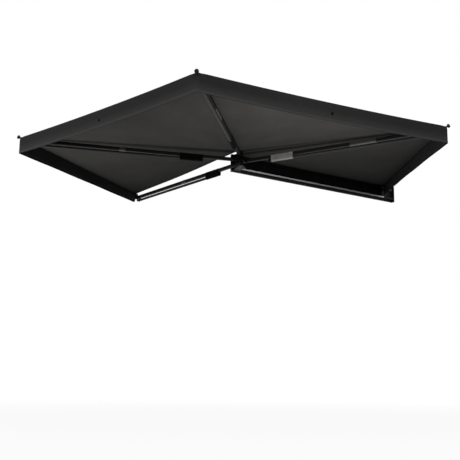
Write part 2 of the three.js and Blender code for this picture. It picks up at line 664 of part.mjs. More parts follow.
// Mounting brackets and their bolts
function mountingBracket(number) {
  const start = bracketPlaces[number] - BRACKET_WIDTH / 2;
  const near = BEAM_DEPTH + GAP;
  const wall = near + BRACKET_THICKNESS;
  const section = new THREE.Shape([
    [near, -BRACKET_TOP_DROP], [near, -bracketFootDrop], [near + BRACKET_FOOT_LENGTH, -bracketFootDrop],
    [near + BRACKET_FOOT_LENGTH, BRACKET_THICKNESS - bracketFootDrop],
    [wall, BRACKET_THICKNESS - bracketFootDrop], [wall, -BRACKET_TOP_DROP],
  ].map(([y, z]) => new THREE.Vector2(y, z)));
  const angle = alongX(section, start, BRACKET_WIDTH);
  const boltHoles = bracketBoltDrops.map((drop) => crossCylinder(
    BRACKET_BOLT_RADIUS + GAP, near - OVERRUN, wall + OVERRUN, bracketPlaces[number], -drop,
  ));
  const slots = [-1, 1].map((side) => {
    const shape = roundedRectangle(
      FOOT_SLOT_WIDTH, FOOT_SLOT_LENGTH, FOOT_SLOT_WIDTH / 2, 0, 0, 4,
    );
    const depth = BRACKET_THICKNESS + 2 * OVERRUN;
    const tool = new THREE.ExtrudeGeometry(shape, { depth, bevelEnabled: false });
    return tool.translate(
      bracketPlaces[number] + side * FOOT_SLOT_SIDE,
      BEAM_DEPTH + FOOT_SLOT_OUT,
      -bracketFootDrop - OVERRUN,
    );
  });
  const name = `mount_bracket_${number + 1}`;
  return named(name, cut(angle, ...boltHoles, ...slots), paintedSteel);
}

function bracketBolt(bracket, row) {
  const x = bracketPlaces[bracket];
  const z = -bracketBoltDrops[row];
  const inside = BEAM_DEPTH - BEAM_WALL - BRACKET_BOLT_INSIDE;
  const headFace = BEAM_DEPTH + GAP + BRACKET_THICKNESS + GAP;
  const shank = crossCylinder(BRACKET_BOLT_RADIUS, inside, headFace + GAP, x, z);
  const head = crossCylinder(BRACKET_BOLT_HEAD, headFace, headFace + BRACKET_BOLT_HEAD_HEIGHT, x, z, 6);
  const place = row === 0 ? 'upper' : 'lower';
  return named(`bracket_bolt_${bracket + 1}_${place}`, join(shank, head), zincSteel);
}

// Travel cover: a long soft fold strapped flat on the beam's front, with a bulge for each fold
function travelCover() {
  const height = coverBottomDrop - COVER_TOP_DROP;
  const steps = COVER_FOLDS * COVER_FOLD_STEPS;
  const back = -GAP;
  const points = [new THREE.Vector2(back, -COVER_TOP_DROP)];
  for (let i = 0; i <= steps; i += 1) {
    const share = i / steps;
    const bulge = Math.abs(Math.sin(share * COVER_FOLDS * Math.PI)) * COVER_FOLD_DEPTH;
    const depth = COVER_DEPTH - COVER_FOLD_DEPTH + bulge;
    points.push(new THREE.Vector2(back - depth, -COVER_TOP_DROP - share * height));
  }
  points.push(new THREE.Vector2(back, -coverBottomDrop));
  const length = beamEnd - COVER_END_BACK - COVER_START;
  return named('travel_cover', alongX(new THREE.Shape(points), COVER_START, length), coverCloth);
}

// Canopy. Corner 0 is on the beam, corner n on arm n. A panel runs between two neighbouring
// corners, from the apex over the hub to the outer edge, and then hangs down as the valance.
function canopyCorner(number) {
  if (number === 0) return new THREE.Vector3(beamEnd - CORNER_BACK, -GROOVE_DEPTH - GAP, -GROOVE_HEIGHT / 2);
  return cornerPlace(number - 1);
}

function canopyRoot(number) {
  const apex = new THREE.Vector3(APEX_X, APEX_Y, APEX_LIFT);
  if (number === 0) {
    return new THREE.Vector3(POST_FRONT + OVERRUN, -GROOVE_DEPTH - GAP, -GROOVE_HEIGHT / 2);
  }
  const outward = canopyCorner(number).sub(apex).setZ(0).normalize();
  return apex.add(outward.multiplyScalar(APEX_RADIUS));
}

const arch = (share) => 4 * share * (1 - share);

// A point of the panel's middle surface: across is 0 to 1 between the two corners, and out is 0 to
// 1 from the apex to the outer edge. It sags between the seams and bows in at the outer edge.
function panelPoint(panel, across, out) {
  const rootA = canopyRoot(panel);
  const rootB = canopyRoot(panel + 1);
  const cornerA = canopyCorner(panel);
  const cornerB = canopyCorner(panel + 1);
  const point = new THREE.Vector3().lerpVectors(rootA, rootB, across).multiplyScalar(1 - out);
  point.add(new THREE.Vector3().lerpVectors(cornerA, cornerB, across).multiplyScalar(out));
  const inward = new THREE.Vector3().subVectors(cornerB, cornerA).setZ(0).normalize();
  inward.set(inward.y, -inward.x, 0);
  const middle = new THREE.Vector3().addVectors(rootA, rootB).multiplyScalar(0.5);
  if (inward.dot(middle.sub(cornerA)) < 0) inward.negate();
  point.addScaledVector(inward, EDGE_BOW * arch(across) * out * out);
  point.z -= PANEL_SAG * arch(across) * arch(out) + EDGE_SAG * arch(across) * out * out;
  if (panel === lastArm) point.z -= FREE_EDGE_SAG * across ** FREE_EDGE_POWER * Math.sin(Math.PI * out) ** 2;
  return { point, inward };
}

// The panel as one closed shell: the middle surface, with half the cloth's thickness on each side
function canopyPanel(panel) {
  const rows = PANEL_ROWS + VALANCE_ROWS;
  const cornerA = canopyCorner(panel);
  const cornerB = canopyCorner(panel + 1);
  const width = cornerA.distanceTo(cornerB);
  const upper = [];
  const lower = [];
  for (let row = 0; row <= rows; row += 1) {
    const out = Math.min(row / PANEL_ROWS, 1);
    const hang = Math.max(row - PANEL_ROWS, 0) / VALANCE_ROWS;
    for (let column = 0; column <= PANEL_COLUMNS; column += 1) {
      const share = column / PANEL_COLUMNS;
      const drop = hang * (VALANCE[panel] + (VALANCE[panel + 1] - VALANCE[panel]) * share);
      const spread = Math.max(width * out, APEX_RADIUS);
      const notch = out < 1 || drop > NOTCH_DEPTH ? 0 : CORNER_NOTCH;
      const mitre = out < 1 ? 0 : FABRIC / 2;
      const trim = Math.min((GAP / 2 + mitre + notch) / spread, TRIM_SHARE);
      const across = trim + share * (1 - 2 * trim);
      const { point, inward } = panelPoint(panel, across, out);
      const sway = HEM_SWAY * Math.sin(hang * Math.PI / 2) * arch(share);
      point.addScaledVector(inward, sway);
      point.z -= drop;
      const half = FABRIC / 2;
      const top = point.clone();
      const under = point.clone();
      if (row <= PANEL_ROWS) {
        top.z += half;
        under.z -= half;
      }
      if (row >= PANEL_ROWS) {
        top.addScaledVector(inward, -half);
        under.addScaledVector(inward, half);
      }
      upper.push(top);
      lower.push(under);
    }
  }
  return named(`canopy_panel_${panel + 1}`, closedSheet(upper, lower, PANEL_COLUMNS + 1), canopyCloth);
}

function closedSheet(upper, lower, stride) {
  const count = upper.length;
  const rows = count / stride;
  const positions = [...upper, ...lower].flatMap((p) => [p.x, p.y, p.z]);
  const index = [];
  const quad = (a, b, c, d) => index.push(a, b, c, a, c, d);
  for (let row = 0; row + 1 < rows; row += 1) {
    for (let column = 0; column + 1 < stride; column += 1) {
      const a = row * stride + column;
      quad(a, a + stride, a + stride + 1, a + 1);
      quad(count + a, count + a + 1, count + a + stride + 1, count + a + stride);
    }
    const left = row * stride;
    const right = left + stride - 1;
    quad(left, count + left, count + left + stride, left + stride);
    quad(right, right + stride, count + right + stride, count + right);
  }
  for (let column = 0; column + 1 < stride; column += 1) {
    const last = (rows - 1) * stride + column;
    quad(column, column + 1, count + column + 1, count + column);
    quad(last, count + last, count + last + 1, last + 1);
  }
  const geometry = new THREE.BufferGeometry();
  geometry.setAttribute('position', new THREE.Float32BufferAttribute(positions, 3));
  geometry.setIndex(index);
  if (signedVolume(positions, index) < 0) {
    for (let i = 0; i < index.length; i += 3) [index[i], index[i + 1]] = [index[i + 1], index[i]];
    geometry.setIndex(index);
  }
  geometry.computeVertexNormals();
  return geometry;
}

function signedVolume(positions, index) {
  const corner = (i) => new THREE.Vector3().fromArray(positions, 3 * index[i]);
  let volume = 0;
  for (let i = 0; i < index.length; i += 3) {
    volume += corner(i).dot(corner(i + 1).cross(corner(i + 2)));
  }
  return volume;
}

// The awning in its drawing frame, and the group that puts the origin at the bracket's foot
const awning = new THREE.Group();
awning.add(beam());
awning.add(beamEndPlate('beam_end_plate_rear', -BEAM_BACK, -1, 0));
awning.add(beamEndPlate('beam_end_plate_front', beamEnd, 1, END_SKIRT));
awning.add(railStrip());
awning.add(hubBracket(), hubBolt(0), hubBolt(1));
for (const arm of armNumbers) {
  awning.add(pivotPin(arm), armGroup(arm), canopyPanel(arm));
}
for (const number of bracketPlaces.keys()) {
  awning.add(mountingBracket(number), bracketBolt(number, 0), bracketBolt(number, 1));
}
awning.add(travelCover());

const footMiddle = BEAM_DEPTH + GAP + BRACKET_FOOT_LENGTH / 2;
awning.position.set(-bracketPlaces[0], -footMiddle, bracketFootDrop);
const part = new THREE.Group();
part.add(awning);

export default part;
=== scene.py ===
import json
import bpy
import bmesh
import numpy as np
from mathutils import Matrix, Vector


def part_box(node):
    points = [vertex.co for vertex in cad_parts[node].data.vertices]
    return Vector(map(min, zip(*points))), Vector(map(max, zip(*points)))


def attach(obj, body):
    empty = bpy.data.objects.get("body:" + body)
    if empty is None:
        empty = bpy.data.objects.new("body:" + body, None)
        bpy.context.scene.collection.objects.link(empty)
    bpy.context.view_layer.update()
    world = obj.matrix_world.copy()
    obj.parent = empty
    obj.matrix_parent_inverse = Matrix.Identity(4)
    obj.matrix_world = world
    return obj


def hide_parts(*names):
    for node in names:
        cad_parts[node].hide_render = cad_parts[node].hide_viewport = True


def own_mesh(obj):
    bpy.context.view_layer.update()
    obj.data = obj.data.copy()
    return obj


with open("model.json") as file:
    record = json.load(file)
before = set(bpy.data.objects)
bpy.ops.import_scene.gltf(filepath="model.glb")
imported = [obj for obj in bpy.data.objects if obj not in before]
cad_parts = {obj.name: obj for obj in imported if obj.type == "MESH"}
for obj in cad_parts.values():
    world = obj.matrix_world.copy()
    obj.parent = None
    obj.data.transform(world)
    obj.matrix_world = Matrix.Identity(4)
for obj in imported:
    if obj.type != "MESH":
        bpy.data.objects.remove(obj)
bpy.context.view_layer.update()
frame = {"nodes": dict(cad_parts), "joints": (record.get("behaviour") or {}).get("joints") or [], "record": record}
print("stage: frame loaded")

# The awning hangs from a beam. Lengths in metres, angles in degrees, +X along the beam.
arms = {
    "angle": (298, 225, 155, 90),           # arm 1 is beside the beam, arm 4 is the last one out
    "reach": (1.957, 2.026, 2.035, 2.000),  # pivot pin to canopy corner
    "cornerDrop": (0, 0, 0, 0.055),         # below the canopy plane
    "tipDrop": (0.020, 0.020, 0.020, 0.105),
    "pinToBeam": 0.048,                     # first pin to the beam's front face
    "knuckleLength": 0.105,
    "tubeEndBack": 0.030,
    "tubeSize": 0.030,
    "tubeWall": 0.002,
    "tubeCorner": 0.003,
    "gap": 0.0003,
    "running": 0.0005,
}
jointOf = {j["name"]: j for j in frame["joints"]}
bodyOfNode = {n: b for b, nodes in frame["record"]["behaviour"]["bodies"].items() for n in nodes}
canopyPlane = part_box("beam")[1].z
armCount = len(arms["angle"])
gap, running = arms["gap"], arms["running"]
plugSize = arms["tubeSize"] - 2 * arms["tubeWall"] - 2 * running


def pinOf(arm):
    return np.array(jointOf[f"fold_{arm + 1}"]["pos_m"])


# Over the first pin, on the beam's front face, in the canopy plane
hubZero = np.array([pinOf(0)[0], pinOf(0)[1] + arms["pinToBeam"], canopyPlane])


def bodyOfArm(arm):
    return "base" if arm < 0 else f"arm_{arm + 1}"


def turnAbout(axis, angle):
    return np.array(Matrix.Rotation(np.radians(angle), 3, axis))


def levelTurn(arm):
    return turnAbout("Z", arms["angle"][arm])


def acrossArm(arm):
    turn = np.radians(arms["angle"][arm])
    return np.array([-np.sin(turn), np.cos(turn), 0])


def tubeLength(arm):
    return arms["reach"][arm] - arms["tubeEndBack"] - arms["knuckleLength"]


def tubeFrame(arm):
    # Turn and origin of an arm tube's own frame: +X runs out along the tube
    rise = canopyPlane - arms["tipDrop"][arm] - pinOf(arm)[2]
    slope = np.degrees(np.arctan2(rise, tubeLength(arm)))
    level = levelTurn(arm)
    origin = pinOf(arm) + level @ (arms["knuckleLength"] + gap, 0, 0)
    return level @ turnAbout("Y", -slope), origin


def poleFrame(arm):
    # Turn and origin of a pole's own frame: on its hinge, +X runs towards its foot, +Z up
    along = np.array(jointOf[f"pole_slide_{arm + 1}"]["axis"])
    across = np.array(jointOf[f"pole_swing_{arm + 1}"]["axis"])
    along = along / np.linalg.norm(along)
    up = np.cross(along, across)
    if up[2] < 0:
        across, up = -across, -up
    return np.column_stack([along, across, up]), np.array(jointOf[f"pole_swing_{arm + 1}"]["pos_m"])


def facing(direction):
    # A turn whose +X looks along the direction
    x = np.asarray(direction, float) / np.linalg.norm(direction)
    side = np.cross([0, 0, 1], x)
    y = side / np.linalg.norm(side) if np.linalg.norm(side) > 1e-6 else np.array([0.0, 1.0, 0.0])
    return np.column_stack([x, y, np.cross(x, y)])


def placed(points, turn, origin):
    return np.reshape(points, (-1, 3)) @ turn.T + origin


def gridOf(*values):
    # Values that spread over one grid, as its points
    return np.stack(np.broadcast_arrays(*values), -1)


def onCircle(radius, angle):
    return gridOf(radius * np.cos(angle), radius * np.sin(angle))


def smoothStep(value):
    value = np.clip(value, 0, 1)
    return value * value * (3 - 2 * value)


def linked(name, data):
    made = bpy.data.objects.new(name, data)
    bpy.context.scene.collection.objects.link(made)
    return made


def withValues(thing, **values):
    for key, value in values.items():
        setattr(thing, key, value)
    return thing


def readAll(items, label, size=1, kind=float):
    values = np.empty(len(items) * size, kind)
    items.foreach_get(label, values)
    return values if size == 1 else values.reshape(-1, size)


# Shader nodes and groups
def addNode(tree, kind, values=None):
    # Settings by their names, inputs by name or number; an input's value may be another node's socket
    node = tree.nodes.new(kind)
    for key, value in (values or {}).items():
        if isinstance(key, str) and hasattr(node, key):
            setattr(node, key, value)
        elif isinstance(value, bpy.types.NodeSocket):
            tree.links.new(value, node.inputs[key])
        else:
            node.inputs[key].default_value = value
    return node


def mathNode(tree, operation, *values, clamped=False):
    settings = {"operation": operation, "use_clamp": clamped}
    return addNode(tree, "ShaderNodeMath", {**settings, **dict(enumerate(values))}).outputs[0]


def apart(tree, first, second):
    return mathNode(tree, "ABSOLUTE", mathNode(tree, "SUBTRACT", first, second))


def climb(tree, value, level, slope):
    # Up from zero to one as the value rises past the level
    return mathNode(tree, "MULTIPLY", mathNode(tree, "SUBTRACT", value, level), slope, clamped=True)


def vectorNode(tree, operation, first, key, second):
    return addNode(tree, "ShaderNodeVectorMath", {"operation": operation, 0: first, key: second}).outputs


def mixNode(tree, kind, share, first, second):
    at, out = (2, 0) if kind == "FLOAT" else (6, 2)
    values = {"data_type": kind, 0: share, at: first, at + 1: second}
    return addNode(tree, "ShaderNodeMix", values).outputs[out]


def noiseNode(tree, place, scale, detail=2.0, roughness=0.5):
    values = {"Vector": place, "Scale": scale, "Detail": detail, "Roughness": roughness}
    return addNode(tree, "ShaderNodeTexNoise", values).outputs[0]


def partsOf(tree, vector):
    return addNode(tree, "ShaderNodeSeparateXYZ", {0: vector}).outputs


def groupNode(tree, group, **values):
    return addNode(tree, "ShaderNodeGroup", {"node_tree": group, **values}).outputs


def openGroup(name, **inputs):
    # A number's default says that the input is a number; the others are vectors
    group = bpy.data.node_groups.new(name, "ShaderNodeTree")
    for label, value in inputs.items():
        kind = "NodeSocketFloat" if isinstance(value, float) else "NodeSocketVector"
        socket = group.interface.new_socket(name=label, in_out="INPUT", socket_type=kind)
        if value is not None:
            socket.default_value = value
    return group, group.nodes.new("NodeGroupInput").outputs


def closeGroup(group, **results):
    for label in results:
        group.interface.new_socket(name=label, in_out="OUTPUT", socket_type="NodeSocketFloat")
    end = group.nodes.new("NodeGroupOutput")
    for label, source in results.items():
        group.links.new(source, end.inputs[label])
    return group


def buildWeave():
    # Threads over and under: two sets of bands, crossed by a checker that says which is on top
    group, given = openGroup("clothWeave", Place=None, Threads=900.0, Slub=0.3)
    place = vectorNode(group, "SCALE", given["Place"], "Scale", given["Threads"])[0]
    parts = partsOf(group, place)
    waves = [mathNode(group, "SINE", mathNode(group, "MULTIPLY", parts[k], np.pi)) for k in ("X", "Y")]
    bands = [mathNode(group, "ABSOLUTE", wave) for wave in waves]
    ends = {"Color1": (0, 0, 0, 1), "Color2": (1, 1, 1, 1)}
    checker = addNode(group, "ShaderNodeTexChecker", {"Vector": place, "Scale": 1.0, **ends})
    tone = mixNode(group, "FLOAT", checker.outputs["Fac"], *bands)
    slubs = noiseNode(group, given["Place"], 60.0, 3.0)
    height = mathNode(group, "MULTIPLY_ADD", slubs, given["Slub"], tone)
    return closeGroup(group, Height=height, Tone=tone)


def buildMottle():
    # Two sizes of soft noise, one broad and one fine, around one half
    group, given = openGroup("softMottle", Place=None, Broad=3.0, Fine=60.0, Share=0.5)
    tones = [noiseNode(group, given["Place"], given[size], 4.0, 0.55) for size in ("Broad", "Fine")]
    return closeGroup(group, Tone=mixNode(group, "FLOAT", given["Share"], *tones), Height=tones[1])


def buildDrawnLines():
    # Fine lines along one direction, as an extrusion die leaves: noise stretched along an axis
    group, given = openGroup("drawnLines", Place=None, Stretch=(2.0, 260.0, 260.0), Scuff=0.62)
    stretched = vectorNode(group, "MULTIPLY", given["Place"], 1, given["Stretch"])[0]
    scuffs = climb(group, noiseNode(group, given["Place"], 14.0, 6.0, 0.7), given["Scuff"], 6.0)
    return closeGroup(group, Lines=noiseNode(group, stretched, 1.0), Scuffs=scuffs)


def buildStitches():
    # A row of stitches: on where the distance across is small and the place along is in a stitch,
    # which takes the middle three quarters of each pitch
    group, given = openGroup("stitchRow", Along=0.0, Across=0.0, Row=0.006, Width=0.0011, Pitch=0.0065)
    off = mathNode(group, "DIVIDE", apart(group, given["Across"], given["Row"]), given["Width"])
    near = mathNode(group, "SUBTRACT", 1.0, off, clamped=True)
    beat = mathNode(group, "FRACT", mathNode(group, "DIVIDE", given["Along"], given["Pitch"]))
    inside = climb(group, 0.38, apart(group, beat, 0.5), 8.0)
    return closeGroup(group, Mask=mathNode(group, "MULTIPLY", near, inside))


def buildBand():
    # On between two values, with soft ends
    group, given = openGroup("softBand", Value=0.0, Low=0.0, High=1.0, Soft=0.001)
    ends = (("Value", "Low"), ("High", "Value"))
    ways = [mathNode(group, "SUBTRACT", given[a], given[b]) for a, b in ends]
    sides = [mathNode(group, "DIVIDE", way, given["Soft"], clamped=True) for way in ways]
    return closeGroup(group, Mask=mathNode(group, "MULTIPLY", *sides))


def buildEdgeWear():
    # Corners rubbed bare: where a rounded normal leaves the true one, broken up by noise
    group, given = openGroup("edgeWear", Place=None, Radius=0.0014, Amount=1.0)
    true = addNode(group, "ShaderNodeNewGeometry").outputs["True Normal"]
    soft = addNode(group, "ShaderNodeBevel", {"samples": 4, "Radius": given["Radius"]}).outputs[0]
    same = vectorNode(group, "DOT_PRODUCT", soft, 1, true)["Value"]
    broken = climb(group, noiseNode(group, given["Place"], 55.0, 5.0, 0.7), 0.45, 5.0)
    mask = mathNode(group, "MULTIPLY", climb(group, 0.97, same, 9.0), broken)
    return closeGroup(group, Mask=mathNode(group, "MULTIPLY", mask, given["Amount"], clamped=True))


weaveGroup = buildWeave()
mottleGroup = buildMottle()
linesGroup = buildDrawnLines()
stitchGroup = buildStitches()
bandGroup = buildBand()
wearGroup = buildEdgeWear()
finish = {}


# Materials
def material(name, colour, roughness, metallic=0.0, sheen=0.0, specular=0.5):
    made = finish[name] = bpy.data.materials.new(name)
    made.use_nodes = True
    shader = made.node_tree.nodes["Principled BSDF"].inputs
    values = {"Base Color": (*colour, 1), "Roughness": roughness, "Metallic": metallic, "Sheen Weight": sheen,
              "Sheen Roughness": 0.5, "Specular IOR Level": specular}
    for label, value in values.items():
        shader[label].default_value = value
    return made.node_tree, shader


def objectPlace(tree):
    return addNode(tree, "ShaderNodeTexCoord").outputs["Object"]


def sheetPlace(tree, layer):
    return addNode(tree, "ShaderNodeUVMap", {"uv_map": layer}).outputs[0]


def tonedColour(tree, colour, tone, spread):
    # The colour made lighter and darker by spread as tone goes from one to zero
    ends = [(*[c * (1 + way * spread) for c in colour], 1) for way in (-1, 1)]
    return mixNode(tree, "RGBA", tone, *ends)


def laidOver(tree, base, over, mask):
    # A second colour laid over the base colour where the mask is on
    return mixNode(tree, "RGBA", mask, base, (*over, 1))


def varied(tree, value, low, high):
    return addNode(tree, "ShaderNodeMapRange", {0: value, "To Min": low, "To Max": high}).outputs[0]


def bumped(tree, shader, height, distance):
    bump = addNode(tree, "ShaderNodeBump", {"Distance": distance, "Strength": 1.0, "Height": height})
    tree.links.new(bump.outputs[0], shader["Normal"])


clothLook = {
    "mottle": {"Broad": 2.2, "Fine": 26.0, "Share": 0.35},
    "mottleStretch": (3.2, -1.1),   # times the first plus the second, so that it uses its whole range
    "weaveShare": 0.35,         # of the weave in the colour, the rest is mottle
    "rowFrom": 10.0,            # added to the height on the roof, so that one number tells both parts
    "bandRise": 1.5,            # of a laid strip and of a stitch, in thread heights
    "stitchRise": 2.5,
    "crisp": 0.002,             # softer bands than this are painted shade and painted sheen, and get no height
}


def clothMaterial(name, colour, roughness, threads, spread=0.22, sheen=0.02, depth=0.0003, specular=0.12,
                  rows=(), bands=(), thread=(0.05, 0.05, 0.05)):
    # Woven cloth. rows are stitch rows and bands are laid strips and soft bands of painted shade and sheen; both
    # name the distance
    # that they follow: seam, height above the hem, or corner, which is the seam's and the edge's together.
    tree, shader = material(name, colour, roughness, sheen=sheen, specular=specular)
    place = sheetPlace(tree, "cloth")
    weave = groupNode(tree, weaveGroup, Threads=threads, Place=place)
    mottle = groupNode(tree, mottleGroup, Place=place, **clothLook["mottle"])
    stretched = mathNode(tree, "MULTIPLY_ADD", mottle["Tone"], *clothLook["mottleStretch"], clamped=True)
    tone = mixNode(tree, "FLOAT", clothLook["weaveShare"], stretched, weave["Tone"])
    base = tonedColour(tree, colour, tone, spread)
    height = weave["Height"]
    if rows or bands:
        along, across = partsOf(tree, place), partsOf(tree, sheetPlace(tree, "rows"))
        fromEdge = apart(tree, across["Y"], clothLook["rowFrom"])
        distance = {"seam": across["X"], "height": across["Y"],
                    "corner": mathNode(tree, "ADD", across["X"], fromEdge)}
        for follows, low, high, soft, over in bands:
            band = groupNode(tree, bandGroup, Low=low, High=high, Soft=soft, Value=distance[follows])["Mask"]
            base = laidOver(tree, base, over, band)
            if soft < clothLook["crisp"]:
                height = mathNode(tree, "MULTIPLY_ADD", band, clothLook["bandRise"], height)
        for follows, at, way in rows:
            row = groupNode(tree, stitchGroup, Row=at, Along=along[way], Across=distance[follows])["Mask"]
            base = laidOver(tree, base, thread, row)
            height = mathNode(tree, "MULTIPLY_ADD", row, clothLook["stitchRise"], height)
    tree.links.new(base, shader["Base Color"])
    bumped(tree, shader, height, depth)


def hardMaterial(tree, shader, place, colour, spread, wear, bare, broad, fine, share):
    # The toned colour of metal or plastic, bare at its corners; gives its mottle back
    mottle = groupNode(tree, mottleGroup, Broad=broad, Fine=fine, Share=share, Place=place)
    base = tonedColour(tree, colour, mottle["Tone"], spread)
    if wear:
        base = laidOver(tree, base, bare, groupNode(tree, wearGroup, Amount=wear, Place=place)["Mask"])
    tree.links.new(base, shader["Base Color"])
    return mottle


def metalMaterial(name, colour, roughness, metallic, depth=0.00004, specular=0.3, wear=0.0,
                  bare=(0.30, 0.30, 0.31), stretch=(2.0, 260.0, 260.0)):
    tree, shader = material(name, colour, roughness, metallic, specular=specular)
    place = objectPlace(tree)
    lines = groupNode(tree, linesGroup, Stretch=stretch, Place=place)
    hardMaterial(tree, shader, place, colour, 0.18, wear, bare, 5.0, 90.0, 0.4)
    rough = varied(tree, lines["Lines"], roughness * 0.85, roughness * 1.25)
    scuffed = mathNode(tree, "MULTIPLY_ADD", lines["Scuffs"], 0.12, rough)
    tree.links.new(scuffed, shader["Roughness"])
    bumped(tree, shader, lines["Lines"], depth)


def mouldedMaterial(name, colour, roughness, grain, depth=0.00012, specular=0.1, wear=0.25):
    tree, shader = material(name, colour, roughness, specular=specular)
    bare = (0.06, 0.06, 0.06)
    mottle = hardMaterial(tree, shader, objectPlace(tree), colour, 0.2, wear, bare, 12.0, grain, 0.5)
    rough = varied(tree, mottle["Tone"], roughness * 0.9, roughness * 1.1)
    tree.links.new(rough, shader["Roughness"])
    bumped(tree, shader, mottle["Height"], depth)


# Stitch rows: what they follow, how far from it, and the way they run
seamRows = (("seam", 0.0055, "Y"), ("seam", 0.0165, "Y"))
hemRows = (("height", 0.0035, "X"), ("height", 0.0195, "X"))
# Bands: what they follow, from, to, softness and colour
edgeTape = (("height", 9.9995, 10.013, 0.001, (0.005, 0.005, 0.005)),
            ("seam", -1.0, 0.010, 0.001, (0.008, 0.008, 0.008)))
cornerPatch = (("corner", -1.0, 0.16, 0.001, (0.026, 0.026, 0.026)),)
# The valance's hem: a soft lighter band over its lowest 85 mm is painted sheen; the lighter hem band is the
# binding, lightened further as painted sheen; the dark bottom edge is the binding's own edge
hemBindingAndSheen = (("height", -1.0, 0.085, 0.06, (0.038, 0.0375, 0.037)),
           ("height", 0.0016, 0.0215, 0.001, (0.049, 0.0485, 0.048)),
           ("height", -1.0, 0.0018, 0.0005, (0.004, 0.004, 0.004)))
# Painted shade: a near-black band along the inside of the valance's hem
liningHemShade = (("height", -1.0, 0.012, 0.001, (0.0018, 0.0018, 0.0018)),)
# Painted shade on the canopy's underside: darker within 0.15 m of the outer edge, where the valance hangs, and
# within 70 mm of each seam, beside the arm tubes
paintedUnderShade = (("height", 9.8, 10.15, 0.15, (0.0250, 0.0242, 0.0232)),
              ("seam", -1.0, 0.07, 0.07, (0.0270, 0.0261, 0.0250)))
clothMaterial("roofTop", (0.036, 0.036, 0.0355), 0.8, 700.0, specular=0.05, rows=seamRows,
              bands=cornerPatch)
clothMaterial("roofUnder", (0.0370, 0.0358, 0.0343), 0.85, 700.0, specular=0.04, sheen=0.01, rows=seamRows,
              bands=paintedUnderShade + cornerPatch + edgeTape)
# The valance's outer face is the roof's own cloth, made darker here as painted shade on the hanging valance
clothMaterial("valanceCloth", (0.021, 0.021, 0.021), 0.78, 700.0, specular=0.06, sheen=0.01,
              rows=seamRows + hemRows, bands=hemBindingAndSheen)
# The valance's inner face is the underside's cloth, made darker as painted shade inside the valance
clothMaterial("valanceLining", (0.0200, 0.0195, 0.0191), 0.8, 700.0, specular=0.05, rows=hemRows,
              bands=liningHemShade, thread=(0.012, 0.012, 0.012))
clothMaterial("seamTape", (0.0045, 0.0045, 0.0045), 0.75, 520.0, depth=0.0005, specular=0.06)
clothMaterial("webbing", (0.0035, 0.0035, 0.0035), 0.75, 420.0, depth=0.0006, specular=0.05)
clothMaterial("greyWebbing", (0.06, 0.06, 0.06), 0.8, 420.0, depth=0.0006, specular=0.1)
clothMaterial("greyLoop", (0.290, 0.280, 0.271), 0.95, 640.0, spread=0.3, depth=0.0008, specular=0.1)
clothMaterial("blackLoop", (0.0024, 0.0024, 0.0024), 0.95, 640.0, depth=0.0008, specular=0.03)
clothMaterial("coverCloth", (0.0018, 0.0018, 0.0019), 0.6, 520.0, specular=0.04)
# The marks of turned and bent metal have no one direction
evenly, coarsely = (60.0, 60.0, 60.0), (40.0, 40.0, 40.0)
metalMaterial("armAnodising", (0.0110, 0.0110, 0.0112), 0.48, 0.0, specular=0.08, wear=0.35,
              bare=(0.12, 0.12, 0.12), stretch=coarsely)
metalMaterial("poleAnodising", (0.034, 0.0335, 0.033), 0.6, 0.0, specular=0.06, stretch=coarsely)
metalMaterial("beamAnodising", (0.0040, 0.0040, 0.0041), 0.5, 0.0, specular=0.1, wear=0.35,
              bare=(0.08, 0.08, 0.08))
metalMaterial("railMetal", (0.62, 0.62, 0.625), 0.42, 0.25)
metalMaterial("bandMetal", (0.072, 0.071, 0.070), 0.4, 0.5, specular=0.2, stretch=evenly)
metalMaterial("poleMetal", (0.10, 0.10, 0.101), 0.34, 0.8, stretch=evenly)
metalMaterial("zincSteel", (0.16, 0.16, 0.163), 0.32, 1.0, depth=0.00002, stretch=evenly)
metalMaterial("darkSteel", (0.012, 0.012, 0.012), 0.38, 0.3, wear=0.3, specular=0.15, stretch=evenly)
mouldedMaterial("powderCoat", (0.0045, 0.0045, 0.0045), 0.46, 700.0, 0.0001)
mouldedMaterial("blackPlastic", (0.0045, 0.0045, 0.0045), 0.5, 500.0)
mouldedMaterial("eyeletMetal", (0.0012, 0.0012, 0.0012), 0.6, 500.0, specular=0.04, wear=0.0)
mouldedMaterial("blackRubber", (0.006, 0.006, 0.006), 0.8, 300.0, 0.0002, wear=0.0)
print("stage: finishes made")


# Surfaces
def gridFaces(rows, columns, closedRows=False, closedColumns=False):
    # Quads between neighbouring points of a grid, which may close on itself either way
    r = np.arange(rows if closedRows else rows - 1)
    c = np.arange(columns if closedColumns else columns - 1)
    r, c = np.meshgrid(r, c, indexing="ij")
    nextRow, nextColumn = (r + 1) % rows, (c + 1) % columns
    quads = np.stack([r * columns + c, r * columns + nextColumn, nextRow * columns + nextColumn,
                      nextRow * columns + c], -1)
    return quads.reshape(-1, 4)


def reworked(mesh, tidied=False):
    # Normals recalculated outwards, once doubles and flat edges are gone if asked
    work = bmesh.new()
    work.from_mesh(mesh)
    if tidied:
        bmesh.ops.remove_doubles(work, verts=work.verts, dist=1e-5)
        bmesh.ops.dissolve_limit(work, angle_limit=np.radians(1), verts=work.verts, edges=work.edges)
    bmesh.ops.recalc_face_normals(work, faces=work.faces)
    work.to_mesh(mesh)
    work.free()


def allSmooth(mesh):
    mesh.polygons.foreach_set("use_smooth", np.full(len(mesh.polygons), True))


